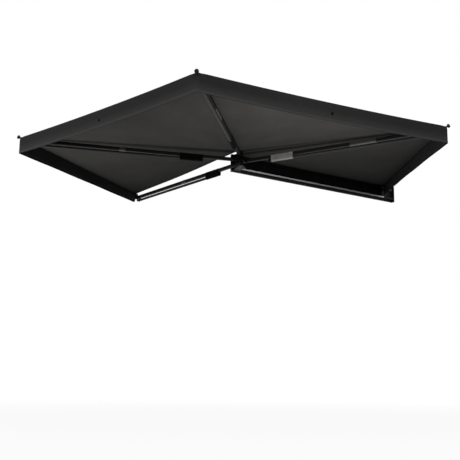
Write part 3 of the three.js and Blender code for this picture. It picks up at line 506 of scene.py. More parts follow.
def newPiece(name, body, finishNames, points, faces, uv=None, rows=None, replaced=(), slotName=None, sharp=35,
             closed=True, finishOf=None):
    # Points as an (n, 3) array, faces as lists of point numbers, uv and rows as one pair per point
    mesh = bpy.data.meshes.new(name)
    points = np.asarray(points, float).reshape(-1, 3).tolist()
    mesh.from_pydata(points, [], [list(map(int, f)) for f in faces])
    for label, pairs in (("cloth", uv), ("rows", rows)):
        if pairs is not None:
            layer = mesh.uv_layers.new(name=label)
            corner = readAll(mesh.loops, "vertex_index", kind=np.int32)
            layer.data.foreach_set("uv", np.asarray(pairs, np.float32).reshape(-1, 2)[corner].ravel())
    made = linked(name, mesh)
    for one in [finishNames] if isinstance(finishNames, str) else finishNames:
        mesh.materials.append(finish[one])
    allSmooth(mesh)
    if finishOf is not None:
        mesh.polygons.foreach_set("material_index", np.asarray(finishOf, np.int32))
    if closed:
        reworked(mesh)
    mesh.set_sharp_from_angle(angle=np.radians(sharp))
    # An open sheet's border stays a crisp edge once it has its thickness
    used = readAll(mesh.loops, "edge_index", kind=np.int32)
    crisp = readAll(mesh.edges, "use_edge_sharp", kind=bool)
    crisp |= np.bincount(used, minlength=len(mesh.edges)) == 1
    mesh.edges.foreach_set("use_edge_sharp", crisp)
    mesh.update()
    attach(made, body)
    if replaced:
        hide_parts(*replaced)
    return made


def joined(parts):
    # Several (points, faces) shells as one
    starts = np.cumsum([0] + [len(points) for points, faces in parts])
    points = np.concatenate([points for points, faces in parts])
    faces = [[int(i) + int(start) for i in face] for (own, its), start in zip(parts, starts) for face in its]
    return points, faces


def nodePiece(node, finishName, slotName, parts, **more):
    # Closed shells that stand for a CAD node, on the node's own body
    return newPiece(f"{node}_shape", bodyOfNode[node], finishName, *joined(parts), replaced=(node,),
                    slotName=slotName, **more)


def openSheet(name, body, finishName, points, uv, rows=None, slotName="cover_cloth", **more):
    rows = uv if rows is None else rows
    return newPiece(name, body, finishName, points, gridFaces(*points.shape[:2]), uv=uv, rows=rows,
                    slotName=slotName, closed=False, **more)


def capped(sections, count):
    # Faces of a closed profile carried along a path, with an n-gon over each end
    faces = gridFaces(sections, count, closedColumns=True).tolist()
    faces.append(list(range(count))[::-1])
    faces.append([(sections - 1) * count + i for i in range(count)])
    return faces


def roundedSquare(width, height, corner, steps=5):
    # The corners of a rectangle, each turned by a quarter circle
    quarter = np.linspace(0, np.pi / 2, steps)
    angle = np.concatenate([quarter + k * np.pi / 2 for k in range(4)])
    signX = np.repeat([1, -1, -1, 1], steps)
    signY = np.repeat([1, 1, -1, -1], steps)
    return gridOf(signX * (width / 2 - corner), signY * (height / 2 - corner)) + onCircle(corner, angle)


def carriedAlong(profile, alongs, scales=None):
    # A profile of (y, z) pairs set square to X at each place along it, drawn in by its scale
    scales = np.ones(len(alongs)) if scales is None else np.asarray(scales)
    yz = profile * scales[:, None, None]
    return gridOf(np.asarray(alongs)[:, None], yz[..., 0], yz[..., 1])


def barPart(width, height, corner, start, end, turn, origin, edge=0.0008, shift=(0, 0, 0)):
    # A bar along X with round corners and softened ends
    ends = np.array([start, start + edge, end - edge, end])
    inset = 1 - 2 * edge / min(width, height)
    points = carriedAlong(roundedSquare(width, height, corner), ends, [inset, 1, 1, inset]) + shift
    return placed(points, turn, origin), capped(4, points.shape[1])


def platePart(outline, near, far, turn, origin, edge=0.0006):
    # An outline of (x, z) pairs carried along Y between two faces, its rims drawn in at both
    centre = outline.mean(0)
    inset = 1 - edge / np.abs(outline - centre).max(0).min()
    rims = np.stack([centre + (outline - centre) * s for s in (inset, 1, 1, inset)])
    y = np.array([near, near + edge, far - edge, far])[:, None]
    return placed(gridOf(rims[..., 0], y, rims[..., 1]), turn, origin), capped(4, len(outline))


def turnedPart(profile, turn, origin, sides=32, closed=False, lobes=0, lobeShare=0.06, lobeFrom=0.0):
    # A profile of (x, radius) pairs turned about X. Lobes draw the radius in between them, past lobeFrom.
    profile = np.asarray(profile, float)
    angle = np.linspace(0, 2 * np.pi, sides, endpoint=False)
    radius = np.broadcast_to(profile[:, 1:], (len(profile), sides))
    if lobes:
        drawn = lobeShare * (0.5 - 0.5 * np.cos(lobes * angle)) ** 0.6
        radius = radius * (1 - drawn[None, :] * (profile[:, 1:] > lobeFrom))
    points = gridOf(profile[:, :1], radius * np.cos(angle), radius * np.sin(angle))
    faces = gridFaces(len(profile), sides, True, True).tolist() if closed else capped(len(profile), sides)
    return placed(points, turn, origin), faces


def rivetPart(place, direction, radius=0.0038, height=0.0019):
    dome = np.linspace(0, 1, 6)
    profile = gridOf(height * np.sin(dome * np.pi / 2), radius * np.cos(dome * np.pi / 2) + 0.0001)
    return turnedPart(profile, facing(direction), place, sides=18)


def hexPart(radius, start, end, turn, origin):
    # A hexagon bar whose outer face is chamfered to a circle, with a pressed washer under it
    way = np.sign(end - start)
    faces = [(start, radius), (end - way * 0.0009, radius), (end, radius * 0.86)]
    thick = start + way * 0.0012
    rim = [(start, radius * 1.18), (thick - way * 0.0003, radius * 1.18), (thick, radius * 1.12)]
    return [turnedPart(faces, turn, origin, sides=6), turnedPart(rim, turn, origin, sides=36)]


def dressed(node, width, finishName, slotName):
    # A copy of a CAD node with its flat faces merged and its edges rounded
    made = linked(f"{node}_shape", frame["nodes"][node].data.copy())
    reworked(made.data, tidied=True)
    made.data.materials.clear()
    made.data.materials.append(finish[finishName])
    allSmooth(made.data)
    withValues(made.modifiers.new("rounded", "BEVEL"), width=width, segments=2, limit_method="ANGLE",
               angle_limit=np.radians(32), harden_normals=True)
    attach(made, bodyOfNode[node])
    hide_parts(node)


def thicken(piece, thickness, offset=-1.0, inner=0):
    withValues(piece.modifiers.new("clothThickness", "SOLIDIFY"), thickness=thickness, offset=offset,
               material_offset=inner)


def faceTowards(piece, way=(0, 0, 1)):
    # An open sheet's faces all look the given way, which may differ from face to face
    if (readAll(piece.data.polygons, "normal", 3) * way).sum() < 0:
        piece.data.flip_normals()


def runAlong(path):
    # The way travelled at each point of a path
    return np.concatenate([[0], np.cumsum(np.linalg.norm(np.diff(path, axis=0), axis=1))])


# Canopy: four panels of one cloth from the apex over the hub to the outer edge, and the valance
canopy = {
    "beamCorner": 2.000,        # its corner on the beam, from the hub
    "beamGroove": 0.0093,
    "grooveDrop": 0.007,
    "rootFront": 0.052,         # where its beam edge starts
    "apex": (-0.028, -0.088, 0.010),
    "apexRadius": 0.009,
    "panelSag": 0.016,
    "edgeBow": 0.014,
    "edgeSag": 0.007,
    "freeEdgeSag": 0.010,
    "valance": (0.100, 0.147, 0.147, 0.147, 0.100),     # its height at each corner
    "hemSway": 0.005,
    "hemRipple": 0.0022,
    "hemWaves": 9,
    "thickness": 0.0012,
    "seamDip": 0.0022,          # the cloth drawn down to the tube beside each seam
    "seamDipAt": 0.035,
    "seamDipWidth": 0.02,
    "pull": 0.0016,             # height of the pull lines that run into the corners
    "pullReach": 0.34,
    "pullCount": 17,
    "rows": 50,
    "cornerRows": 16,
    "cornerFrom": 0.962,        # share of the reach where the rows get closer
    "columns": 56,
    "columnEase": 1.35,         # they are closer beside the seam
    "notch": 0.0105,            # cloth cut back for the knob's stub
    "notchHeight": 0.016,
    "notchBack": 0.012,         # in from the outer edge
    "notchSpread": 0.03,        # how far from the seam it still moves the cloth
    "leastOut": 0.02,           # share of the reach; nearer the apex, widths are as they are there
    "upperSteps": (0.02, 0.06, 0.12, 0.2, 0.3, 0.42, 0.54, 0.66, 0.78, 0.9, 1.0),
    "hemSteps": (0.0216, 0.0212, 0.0175, 0.012, 0.0065, 0.002, 0.0),
    "hemBand": 0.022,
    "hemStep": 0.0007,          # the doubled hem stands proud by this much
    "hemRound": 0.045,
    "squashed": 0.003,          # share of the cloth's spread that is left when the arms are in
    "foldedBeside": (0.0170, 0.0185, 0.0185, 0.0185),   # from each arm's middle line, when folded
    "foldedBeam": 0.022,        # and from the beam's face
    "eyeletShare": 0.57,        # down the valance
}
apexAt = hubZero + canopy["apex"]


def beamEdge(along):
    return hubZero + (along, -canopy["beamGroove"], -canopy["grooveDrop"])


def cornerOf(number):
    # Canopy corner 0 is on the beam, corner n at arm n's tip
    if number == 0:
        return beamEdge(canopy["beamCorner"])
    arm = number - 1
    turn = np.radians(arms["angle"][arm])
    corner = pinOf(arm) + arms["reach"][arm] * np.array([np.cos(turn), np.sin(turn), 0])
    corner[2] = canopyPlane - arms["cornerDrop"][arm]
    return corner


def rootOf(number):
    # Where corner number's seam starts, on a small ring round the apex
    if number == 0:
        return beamEdge(canopy["rootFront"])
    away = cornerOf(number) - apexAt
    away[2] = 0
    return apexAt + canopy["apexRadius"] * away / np.linalg.norm(away)


def arch(share):
    return 4 * share * (1 - share)


def panelWidth(panel):
    return np.linalg.norm(cornerOf(panel + 1) - cornerOf(panel))


def panelInward(panel):
    # Level unit vector from the outer edge towards the hub, square to the edge
    edge = cornerOf(panel + 1) - cornerOf(panel)
    inward = np.array([edge[1], -edge[0], 0]) / np.hypot(edge[0], edge[1])
    middle = (rootOf(panel) + rootOf(panel + 1)) / 2 - cornerOf(panel)
    return inward if inward @ middle > 0 else -inward


def tautPoints(panel, across, out):
    # The taut cloth: a blend of the four corners, lower between the seams, drawn in at the edge
    a, b = across[..., None], out[..., None]
    root = rootOf(panel) * (1 - a) + rootOf(panel + 1) * a
    edge = cornerOf(panel) * (1 - a) + cornerOf(panel + 1) * a
    points = root * (1 - b) + edge * b
    points = points + panelInward(panel) * (canopy["edgeBow"] * arch(a) * b * b)
    sag = canopy["panelSag"] * arch(across) * arch(out) + canopy["edgeSag"] * arch(across) * out ** 2
    if panel == armCount - 1:
        sag = sag + canopy["freeEdgeSag"] * across ** 6 * np.sin(np.pi * out) ** 2
    points[..., 2] -= sag
    return points


def pullLines(panel, across, out):
    # Fine ridges that fan out from both outer corners and die away towards the middle
    height = np.zeros_like(across)
    for share, phase in ((across, 0.0), (1 - across, 1.7)):
        x = share * panelWidth(panel) * out
        y = (1 - out) * arms["reach"][panel]
        distance = np.hypot(x, y) + 1e-6
        fade = np.exp(-distance / canopy["pullReach"]) * np.clip(distance / 0.05, 0, 1)
        waves = np.sin(np.arctan2(y, x) * canopy["pullCount"] + phase + panel)
        height += fade * waves * np.clip(x / 0.03, 0, 1)
    return canopy["pull"] * height


def roofPoints(panel, across, out, fromSeam):
    points = tautPoints(panel, across, out)
    points[..., 2] += pullLines(panel, across, out)
    beside = np.exp(-((fromSeam - canopy["seamDipAt"]) / canopy["seamDipWidth"]) ** 2)
    points[..., 2] -= canopy["seamDip"] * beside * np.clip(out * 3, 0, 1)
    return points


def valancePoints(panel, rim, share, drop, height):
    # It hangs from the outer edge, swings in a little below its middle and ripples
    points = tautPoints(panel, rim, np.ones_like(rim))
    hang = drop / height
    ripple = canopy["hemRipple"] * np.sin(share * panelWidth(panel) * canopy["hemWaves"] + panel)
    ripple = ripple * np.sqrt(arch(share)) * hang ** 1.5
    sway = canopy["hemSway"] * np.sin(hang * np.pi / 2) * arch(share) + ripple
    sway = sway - canopy["hemStep"] * smoothStep((canopy["hemBand"] - height + drop) / 0.001)
    points = points + panelInward(panel) * sway[..., None]
    points[..., 2] -= drop
    return points


def valanceHeight(panel, share):
    # It changes evenly from corner to corner, and the last panel's free end is cut round
    height = canopy["valance"][panel] * (1 - share) + canopy["valance"][panel + 1] * share
    if panel == armCount - 1:
        radius = canopy["hemRound"]
        inside = np.clip(radius - (1 - share) * panelWidth(panel), 0, radius)
        height = height - (radius - np.sqrt(radius ** 2 - inside ** 2))
    return height


def sheetPoints(panel, first, last):
    # Half a panel, between the shares first and last of its width, roof and valance in one grid
    width = panelWidth(panel)
    reach = arms["reach"][panel]
    side = 1 if first < last else -1
    share = first + (last - first) * np.linspace(0, 1, canopy["columns"]) ** canopy["columnEase"]
    closer = canopy["cornerFrom"]
    outs = np.concatenate([np.linspace(0, closer, canopy["rows"]),
                           np.linspace(closer, 1, canopy["cornerRows"])[1:]])
    out, across = np.meshgrid(outs, share, indexing="ij")
    wide = np.maximum(out, canopy["leastOut"])
    fromSeam = np.abs(across - first) * width * wide
    # The cut for the stub, on the roof and on down the valance
    cut = 0.0 if (panel == 0 and side > 0) else canopy["notch"]
    deep, spread = canopy["notchHeight"], canopy["notchSpread"]
    push = cut * np.exp(-(((1 - out) * reach - canopy["notchBack"]) / deep) ** 4)
    push = push / (width * wide) * np.exp(-fromSeam / spread)
    roof = roofPoints(panel, across + side * push, out, fromSeam)
    # Down the valance: even steps to the hem, then the hem's own
    upper, lower = np.array(canopy["upperSteps"]), np.array(canopy["hemSteps"])
    height = valanceHeight(panel, share)[None, :]
    drop = np.concatenate([upper[:, None] * (height - canopy["hemBand"]), height - lower[:, None]])
    shares = np.broadcast_to(share, drop.shape)
    slot = cut * np.exp(-(drop / deep) ** 4) / width * np.exp(-fromSeam[-1] / spread)
    hem = valancePoints(panel, shares + side * slot, shares, drop, height)
    points = np.concatenate([roof, hem])
    uv = gridOf(share * width, np.concatenate([out * reach, reach + drop]))
    aside = np.concatenate([fromSeam, np.broadcast_to(fromSeam[-1], drop.shape)])
    rows = gridOf(aside, np.concatenate([clothLook["rowFrom"] + (1 - out) * reach, height - drop]))
    return points, uv, rows, len(roof)


def foldsFlat(piece, arm, side):
    # Works out where the cloth would lie beside its arm, or against the beam, but does not move it; it only gives
    # the piece its own mesh
    if arm < 0:
        across, anchor = (0, 1, 0), (0, hubZero[1] - canopy["foldedBeam"], 0)
    else:
        across = acrossArm(arm)
        anchor = pinOf(arm) + across * side * canopy["foldedBeside"][arm]
    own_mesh(piece)


def canopyHalf(panel, arm, first, last, side):
    points, uv, rows, roofRows = sheetPoints(panel, first, last)
    hanging = gridFaces(*points.shape[:2])[:, 0] // points.shape[1] >= roofRows - 1
    piece = openSheet(f"canopy_{panel + 1}_{'near' if side > 0 else 'far'}", bodyOfArm(arm),
                      ["roofTop", "valanceCloth", "roofUnder", "valanceLining"], points, uv, rows,
                      replaced=(f"canopy_panel_{panel + 1}",), slotName="canopy_cloth", sharp=50,
                      finishOf=hanging)
    faceTowards(piece)
    thicken(piece, canopy["thickness"], inner=2)
    foldsFlat(piece, arm, side)


def eyelet(panel, arm):
    # A moulded ring set in the middle of the valance
    share = np.array([0.5])
    height = valanceHeight(panel, share)
    place = valancePoints(panel, share, share, height * canopy["eyeletShare"], height)[0]
    profile = [(-0.0022, 0.0008), (-0.0022, 0.0108), (-0.0006, 0.0125), (0.0008, 0.0122), (0.0018, 0.0105),
               (0.0014, 0.0080), (0.0004, 0.0070), (0.0002, 0.0008)]
    part = turnedPart(profile, facing(-panelInward(panel)), place, sides=36)
    piece = newPiece(f"valance_eyelet_{panel + 1}", bodyOfArm(arm), "eyeletMetal", *part,
                     slotName="black_plastic")
    foldsFlat(piece, arm, 1)
    return piece


tape = {
    "half": 0.012,
    "lift": 0.0010,
    "thickness": 0.0007,
    "start": 0.05,
    "end": 0.999,
    "rows": 110,
    "column": 0.0024,
    "lastWider": 1.6,           # how much wider it is on the last arm, which has one panel
    "squashed": 0.3,
    "crownOut": 0.055,          # the apex patch's reach, as a share of the panels'
    "crownLift": 0.0038,
    "crownSquashed": 0.4,
    "crownFoldedX": 0.045,
}


def seamTape(arm):
    # A bound strip over each seam, on the cloth of both its panels; the last arm has one side only
    outs = np.linspace(tape["start"], tape["end"], tape["rows"])
    sides = []
    for panel, side in ((arm, -1), (arm + 1, 1)):
        if panel < armCount:
            away = np.linspace(0, tape["half"] * (1 if arm < armCount - 1 else tape["lastWider"]), 6)
            out, distance = np.meshgrid(outs, away, indexing="ij")
            share = distance / (panelWidth(panel) * out)
            across = 1 - share if side < 0 else share
            sides.append(roofPoints(panel, across, out, distance)[:, :: side])
    points = np.concatenate([sides[0], *[s[:, 1:] for s in sides[1:]]], 1)
    points[..., 2] += tape["lift"] + tape["thickness"]
    uv = gridOf(np.arange(points.shape[1]) * tape["column"], outs[:, None] * arms["reach"][arm])
    piece = openSheet(f"seam_tape_{arm + 1}", bodyOfArm(arm), "seamTape", points, uv)
    faceTowards(piece)
    thicken(piece, tape["thickness"])
    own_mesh(piece)
    return piece


def crownPatch():
    # A round of cloth over the apex, where the three outer panels and the beam's panel meet
    outs = np.linspace(0.0, tape["crownOut"], 8)
    columns = []
    for panel in range(1, armCount):
        shares = np.linspace(0, 1, 12)
        out, across = np.meshgrid(outs, shares if panel == 1 else shares[1:], indexing="ij")
        columns.append(tautPoints(panel, across, out))
    points = np.concatenate(columns, 1)
    points[..., 2] += tape["crownLift"]
    flat = points.reshape(-1, 3)
    faces = gridFaces(*points.shape[:2]).tolist()
    faces.append(list(range(points.shape[1])))
    piece = newPiece("crown_patch", "base", "seamTape", flat, faces, uv=flat[:, :2], rows=flat[:, :2],
                     slotName="cover_cloth", closed=False, sharp=60)
    faceTowards(piece)
    thicken(piece, canopy["thickness"])
    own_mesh(piece)


bead = {
    "radius": 0.0021,
    "at": (-0.0046, -0.007),
    "neck": ((-0.0092, -0.0066), (-0.0092, -0.0074)),
}


def beamBead():
    # The cloth's edge on the beam: a round bead in the groove and its neck out through the mouth
    angle = np.linspace(0.2, 2 * np.pi - 0.2, 18) + np.pi
    profile = np.concatenate([onCircle(bead["radius"], angle) + bead["at"], bead["neck"]])
    alongs = np.linspace(canopy["rootFront"], canopy["beamCorner"], 30)
    points = (carriedAlong(profile, alongs) + hubZero).reshape(-1, 3)
    return newPiece("canopy_bead", "base", "seamTape", points, capped(len(alongs), len(profile)),
                    uv=points[:, :2], rows=points[:, :2], slotName="cover_cloth")


tapes = [seamTape(arm) for arm in range(armCount)]
beadPiece = beamBead()
for panel in range(armCount):
    ring = eyelet(panel, panel - 1)
    canopyHalf(panel, panel - 1, 0.0, 0.5, 1)
    canopyHalf(panel, panel, 1.0, 0.5, -1)
crownPatch()
print("stage: canopy made")


# Arms
def tubePart(size, wall, corner, start, end, turn, origin):
    # A square tube, hollow and open at both ends, with its end edges eased
    outer = roundedSquare(size, size, corner)
    inner = roundedSquare(size - 2 * wall, size - 2 * wall, max(corner - wall, 0.0004))
    ends = np.array([start, start + 0.0005, end - 0.0005, end])
    points = np.concatenate([carriedAlong(outer, ends, [0.97, 1, 1, 0.97]), carriedAlong(inner, ends[::-1])])
    return placed(points, turn, origin), gridFaces(8, len(outer), True, True).tolist()


sleeve = {
    "middle": (1.120, 1.120, 1.020, 0.865),   # past the knuckle's end
    "length": (0.240, 0.240, 0.056, 0.070),
    "wall": 0.0013,
    "rivetIn": 0.014,
    "tubeRivets": (0.018, 0.044),             # from the tube's inner end
    "tipRivets": (0.014, 0.034),              # from its outer end
}


def makeTube(arm):
    turn, origin = tubeFrame(arm)
    size, length, wall = arms["tubeSize"], tubeLength(arm), sleeve["wall"]
    tube = tubePart(size, arms["tubeWall"], arms["tubeCorner"], 0, length, turn, origin)
    nodePiece(f"arm_tube_{arm + 1}", "armAnodising", "black_anodised", [tube], sharp=40)
    # Splice sleeve round the tube
    outer = size + 2 * wall
    start = sleeve["middle"][arm] - sleeve["length"][arm] / 2
    end = start + sleeve["length"][arm]
    band = tubePart(outer, wall - 0.0001, arms["tubeCorner"] + wall, start, end, turn, origin)
    newPiece(f"arm_sleeve_{arm + 1}", bodyOfArm(arm), "bandMetal", *band, sharp=40,
             slotName="bright_aluminium")
    # Rivets through the sleeve, the knuckle's tongue and the tip's plug
    rivets = []
    inset = min(sleeve["rivetIn"], sleeve["length"][arm] / 2)
    places = [(x, outer / 2 - 0.0001) for x in (start + inset, end - inset)]
    ends = (*sleeve["tubeRivets"], *[length - x for x in sleeve["tipRivets"]])
    places += [(x, size / 2 - 0.0001) for x in ends]
    for side in (-1, 1):
        way = turn @ (0, side, 0)
        rivets += [rivetPart(origin + turn @ (x, side * y, 0), way) for x, y in places]
    newPiece(f"arm_rivets_{arm + 1}", bodyOfArm(arm), "darkSteel", *joined(rivets), slotName="zinc_steel")


knuckle = {
    "eyeRadius": 0.017,
    "boreRadius": 0.0073,
    "storey": 0.042,
    "width": 0.024,
    "height": 0.030,
    "tongue": 0.060,
    "washer": 0.0125,
    "shoulder": (0.0285, 0.0325),
    "screwAt": 0.062,
}


def makeKnuckle(arm):
    level, pin = levelTurn(arm), pinOf(arm)
    turn, origin = tubeFrame(arm)
    upright = facing((0, 0, 1))
    half = knuckle["storey"] / 2 - running
    radius, bore, rim = knuckle["eyeRadius"], knuckle["boreRadius"], knuckle["washer"]
    ring = [(-half, bore), (-half, radius - 0.0018), (-half + 0.0006, radius - 0.0006),
            (-half + 0.0018, radius), (half - 0.0018, radius), (half - 0.0006, radius - 0.0006),
            (half, radius - 0.0018), (half, bore)]
    eye = turnedPart(ring, upright, pin, sides=56, closed=True)
    washers = [turnedPart([(z, bore), (z, rim), (z + 0.0004, rim + 0.0004), (z + 0.0008, rim),
                           (z + 0.0008, bore)], upright, pin, sides=40, closed=True)
               for z in (half - 0.0004, -half - 0.0004)]
    # The bar grows from the eye's height to its own, and is stepped where the tube seats
    end = arms["knuckleLength"]
    alongs = np.array([0.012, 0.022, 0.034, end - 0.012, end - 0.004, end - 0.0022])
    bar = carriedAlong(roundedSquare(knuckle["width"], knuckle["height"], 0.0034), alongs,
                       [0.86, 0.95, 1, 1, 1.0, 0.95])
    bar = placed(bar, level, pin), capped(len(alongs), bar.shape[1])
    tongue = barPart(knuckle["width"], plugSize, 0.002, -0.012, knuckle["tongue"], turn, origin)
    # A shoulder ring welded round the bar just before the tube
    shoulder = barPart(*knuckle["shoulder"], 0.005, end - 0.0085, end - 0.0022, level, pin, edge=0.0012)
    screws = []
    for side in (-1, 1):
        out = np.array([knuckle["screwAt"], side * (knuckle["width"] / 2 - 0.0001), 0])
        screws.append(rivetPart(pin + level @ out, level @ (0, side, 0), 0.0058, 0.0024))
    nodePiece(f"arm_knuckle_{arm + 1}", "powderCoat", "black_steel",
              [eye, bar, tongue, shoulder, *washers, *screws])


tip = {
    "plug": 0.045,
    "plate": 0.004,
    "plateSize": 0.034,
    "seatWidth": 0.036,
    "seatThickness": 0.008,
    "seatRoom": 0.00235,
    "stubRadius": 0.008,
    "stubLength": 0.032,
    "stubTilt": 20,
    "stubDrop": 0.012,
    "knobRadius": 0.017,
    "knobLength": 0.022,
    "knobLobes": 12,
    "loop": (0.0045, 0.0165),   # the webbing loop's place on the stub
    "loopSides": 40,
}


def makeTip(arm):
    turn, origin = tubeFrame(arm)
    at = origin + turn @ (tubeLength(arm), 0, 0)
    rise = arms["tipDrop"][arm] - arms["cornerDrop"][arm]
    plug = barPart(plugSize, plugSize, 0.002, -tip["plug"], 0.001, turn, at)
    plate = barPart(tip["plateSize"], tip["plateSize"], 0.005, gap, tip["plate"], turn, at, edge=0.001)
    seatTop = rise - tip["seatRoom"]
    seat = barPart(tip["seatWidth"], seatTop, 0.003, gap, tip["seatThickness"], turn, at, edge=0.0012,
                   shift=(0, 0, seatTop / 2))
    outward = turn @ turnAbout("Y", -tip["stubTilt"])
    root = at + turn @ (tip["plate"], 0, rise - tip["stubDrop"])
    length, radius, knob, grip = tip["stubLength"], tip["stubRadius"], tip["knobRadius"], tip["knobLength"]
    # Stub with a flange at its root and a neck under the knob
    stub = turnedPart([(0, radius * 0.4), (0, radius * 1.3), (0.0028, radius * 1.3), (0.0042, radius * 1.06),
                       (0.007, radius), (length - 0.004, radius), (length + 0.002, radius * 0.9),
                       (length + 0.006, radius * 0.4)], outward, root, sides=40)
    # Knob: a rounded back rim, a ribbed grip and a domed end
    dome = np.linspace(0, np.pi / 2, 8)[1:]
    profile = [(length, knob * 0.30), (length, knob * 0.86), (length + 0.0007, knob * 0.95),
               (length + 0.002, knob), (length + grip * 0.5, knob)]
    profile += [(length + grip * (0.5 + 0.5 * np.sin(a)), max(knob * np.cos(a) ** 0.8, 0.0006))
                for a in dome]
    head = turnedPart(profile, outward, root, sides=96, lobes=tip["knobLobes"], lobeShare=0.085,
                      lobeFrom=knob * 0.72)
    nodePiece(f"arm_tip_{arm + 1}", "blackPlastic", "black_plastic", [plug, plate, seat, stub, head],
              sharp=42)
    # Loop of webbing from the canopy's corner round the stub's root
    start, end = tip["loop"]
    inner, outer = radius + 0.0006, radius + 0.0020
    sides = tip["loopSides"]
    loop = turnedPart([(start, inner), (start, outer), (end, outer), (end, inner)], outward, root,
                      sides=sides, closed=True)
    around = np.tile(np.linspace(0, 2 * np.pi * radius, sides, endpoint=False), 4)
    uv = gridOf(around, np.repeat([start, start + 0.0001, end, end + 0.0001], sides))
    newPiece(f"corner_loop_{arm + 1}", bodyOfArm(arm), "webbing", *loop, uv=uv, rows=uv,
             slotName="cover_cloth")


pole = {
    "under": 0.023,
    "earThickness": 0.004,
    "earRadius": 0.011,
    "baseLength": 0.060,
    "baseThickness": 0.003,
    "lugWidth": 0.022,
    "lugLength": 0.016,
    "pinRadius": 0.004,
    "radius": 0.0125,
    "wall": 0.0015,
    "length": 1.500,
    "innerRadius": 0.0104,
    "innerWall": 0.0015,
    "innerLength": 0.950,
    "innerOut": 0.024,
    "collarRadius": 0.0145,
    "collarGrip": 0.020,
    "collarNose": 0.014,
    "footRadius": 0.014,
    "footLength": 0.026,
    "footStem": 0.012,
    "footGrooves": (0.007, 0.012, 0.017),
}


def rodEnd(radius, reach, steps=16):
    # The outline of a tongue: half a circle round its pin and two straight sides to its root
    angle = np.linspace(np.pi / 2, 3 * np.pi / 2, steps)
    return np.concatenate([onCircle(radius, angle), [[reach, -radius], [reach, radius]]])


def makePoleBracket(arm):
    turn = tubeFrame(arm)[0]
    pin = poleFrame(arm)[1]
    inner = pole["lugWidth"] / 2 + running
    outer = inner + pole["earThickness"]
    top = pole["under"] - gap
    thick = pole["baseThickness"]
    downward = np.column_stack([turn[:, 2], turn[:, 1], -turn[:, 0]])
    outline = rodEnd(pole["earRadius"], top - 0.0005)
    ears = [platePart(outline, *sorted((side * inner, side * outer)), downward, pin) for side in (-1, 1)]
    base = barPart(2 * outer, thick, 0.0012, -pole["baseLength"] / 2, pole["baseLength"] / 2, turn, pin,
                   shift=(0, 0, top - thick / 2))
    reach = outer + 0.003
    across = np.column_stack([turn[:, 1], turn[:, 2], turn[:, 0]])
    radius = pole["pinRadius"]
    bolt = turnedPart([(-reach, radius * 1.2), (-reach + 0.0008, radius * 1.55), (-outer, radius * 1.6),
                       (-outer, radius), (outer, radius), (outer, radius * 1.6),
                       (reach - 0.0008, radius * 1.55), (reach, radius * 1.2)], across, pin, sides=32)
    screws = [rivetPart(pin + turn @ (x, 0, top - thick + 0.0001), -turn[:, 2], 0.0036, 0.0016)
              for x in (-0.022, 0.022)]
    nodePiece(f"pole_bracket_{arm + 1}", "powderCoat", "black_steel", [*ears, base, bolt, *screws])


def openTube(radius, bore, start, end, ease, turn, origin, sides):
    # A round tube, open at both ends, with its outer end edges eased
    profile = [(start, bore), (start, radius - ease[0]), (start + ease[1], radius), (end - ease[1], radius),
               (end, radius - ease[0]), (end, bore)]
    return turnedPart(profile, turn, origin, sides=sides, closed=True)


def makePole(arm):
    turn, pin = poleFrame(arm)
    radius, bore, length = pole["radius"], pole["radius"] - pole["wall"], pole["length"]
    lug = pole["lugLength"]
    tube = openTube(radius, bore, lug, length, (0.0004, 0.0005), turn, pin, 48)
    plug = turnedPart([(lug - 0.0012, radius * 0.5), (lug - 0.0012, radius * 0.96),
                       (lug - 0.0004, radius * 1.04), (lug + 0.0012, radius * 1.04), (lug + 0.002, bore),
                       (lug + 0.025, bore), (lug + 0.025, 0.004)], turn, pin, sides=48)
    half = pole["lugWidth"] / 2
    tongue = platePart(rodEnd(pole["earRadius"] - running, lug), -half, half, turn, pin, edge=0.0012)
    rivets = [rivetPart(pin + turn @ (lug + 0.012, side * (radius - 0.0002), 0), side * turn[:, 1],
                        0.003, 0.0014) for side in (-1, 1)]
    nodePiece(f"pole_outer_{arm + 1}", "poleAnodising", "black_anodised", [tube, plug, tongue, *rivets])
    # Twist lock: a ribbed grip on the outer tube, a ring and a nose over the inner tube
    grip, nose = pole["collarGrip"], pole["collarNose"]
    collar, inner, seat = pole["collarRadius"], pole["innerRadius"] + 0.0004, radius + 0.0003
    shape = [(-grip, seat), (-grip, collar - 0.0008), (0.001 - grip, collar), (-0.002, collar),
             (-0.001, collar - 0.0014), (0.001, collar - 0.0014), (0.002, collar - 0.0002),
             (nose - 0.003, collar - 0.0002), (nose, collar - 0.0022), (nose, inner), (0.0004, inner),
             (0.0004, seat)]
    ring = turnedPart([(length + x, r) for x, r in shape], turn, pin, sides=96, closed=True, lobes=16,
                      lobeShare=0.07, lobeFrom=collar - 0.0009)
    nodePiece(f"pole_collar_{arm + 1}", "blackPlastic", "black_plastic", [ring], sharp=45)
    # Inner tube and its rubber foot
    far = length + nose + pole["innerOut"]
    radius = pole["innerRadius"]
    bore = radius - pole["innerWall"]
    tube = openTube(radius, bore, far - pole["innerLength"], far, (0.0003, 0.0004), turn, pin, 44)
    nodePiece(f"pole_inner_{arm + 1}", "poleMetal", "bright_aluminium", [tube])
    foot, run, stem = pole["footRadius"], pole["footLength"], bore - gap
    groove = ((-0.0012, 0.0), (-0.0006, 0.0012), (0.0006, 0.0012), (0.0012, 0.0))
    grooves = [(x + along, foot - cut) for x in pole["footGrooves"] for along, cut in groove]
    shape = [(-pole["footStem"], 0.002), (-pole["footStem"], stem), (0, stem), (0, foot - 0.002),
             (0.0015, foot - 0.0006), (0.004, foot), *grooves, (run - 0.004, foot),
             (run - 0.0012, foot - 0.0012), (run, foot - 0.004), (run, 0.003)]
    rubber = turnedPart([(far + gap + x, r) for x, r in shape], turn, pin, sides=44)
    nodePiece(f"pole_foot_{arm + 1}", "blackRubber", "black_rubber", [rubber])


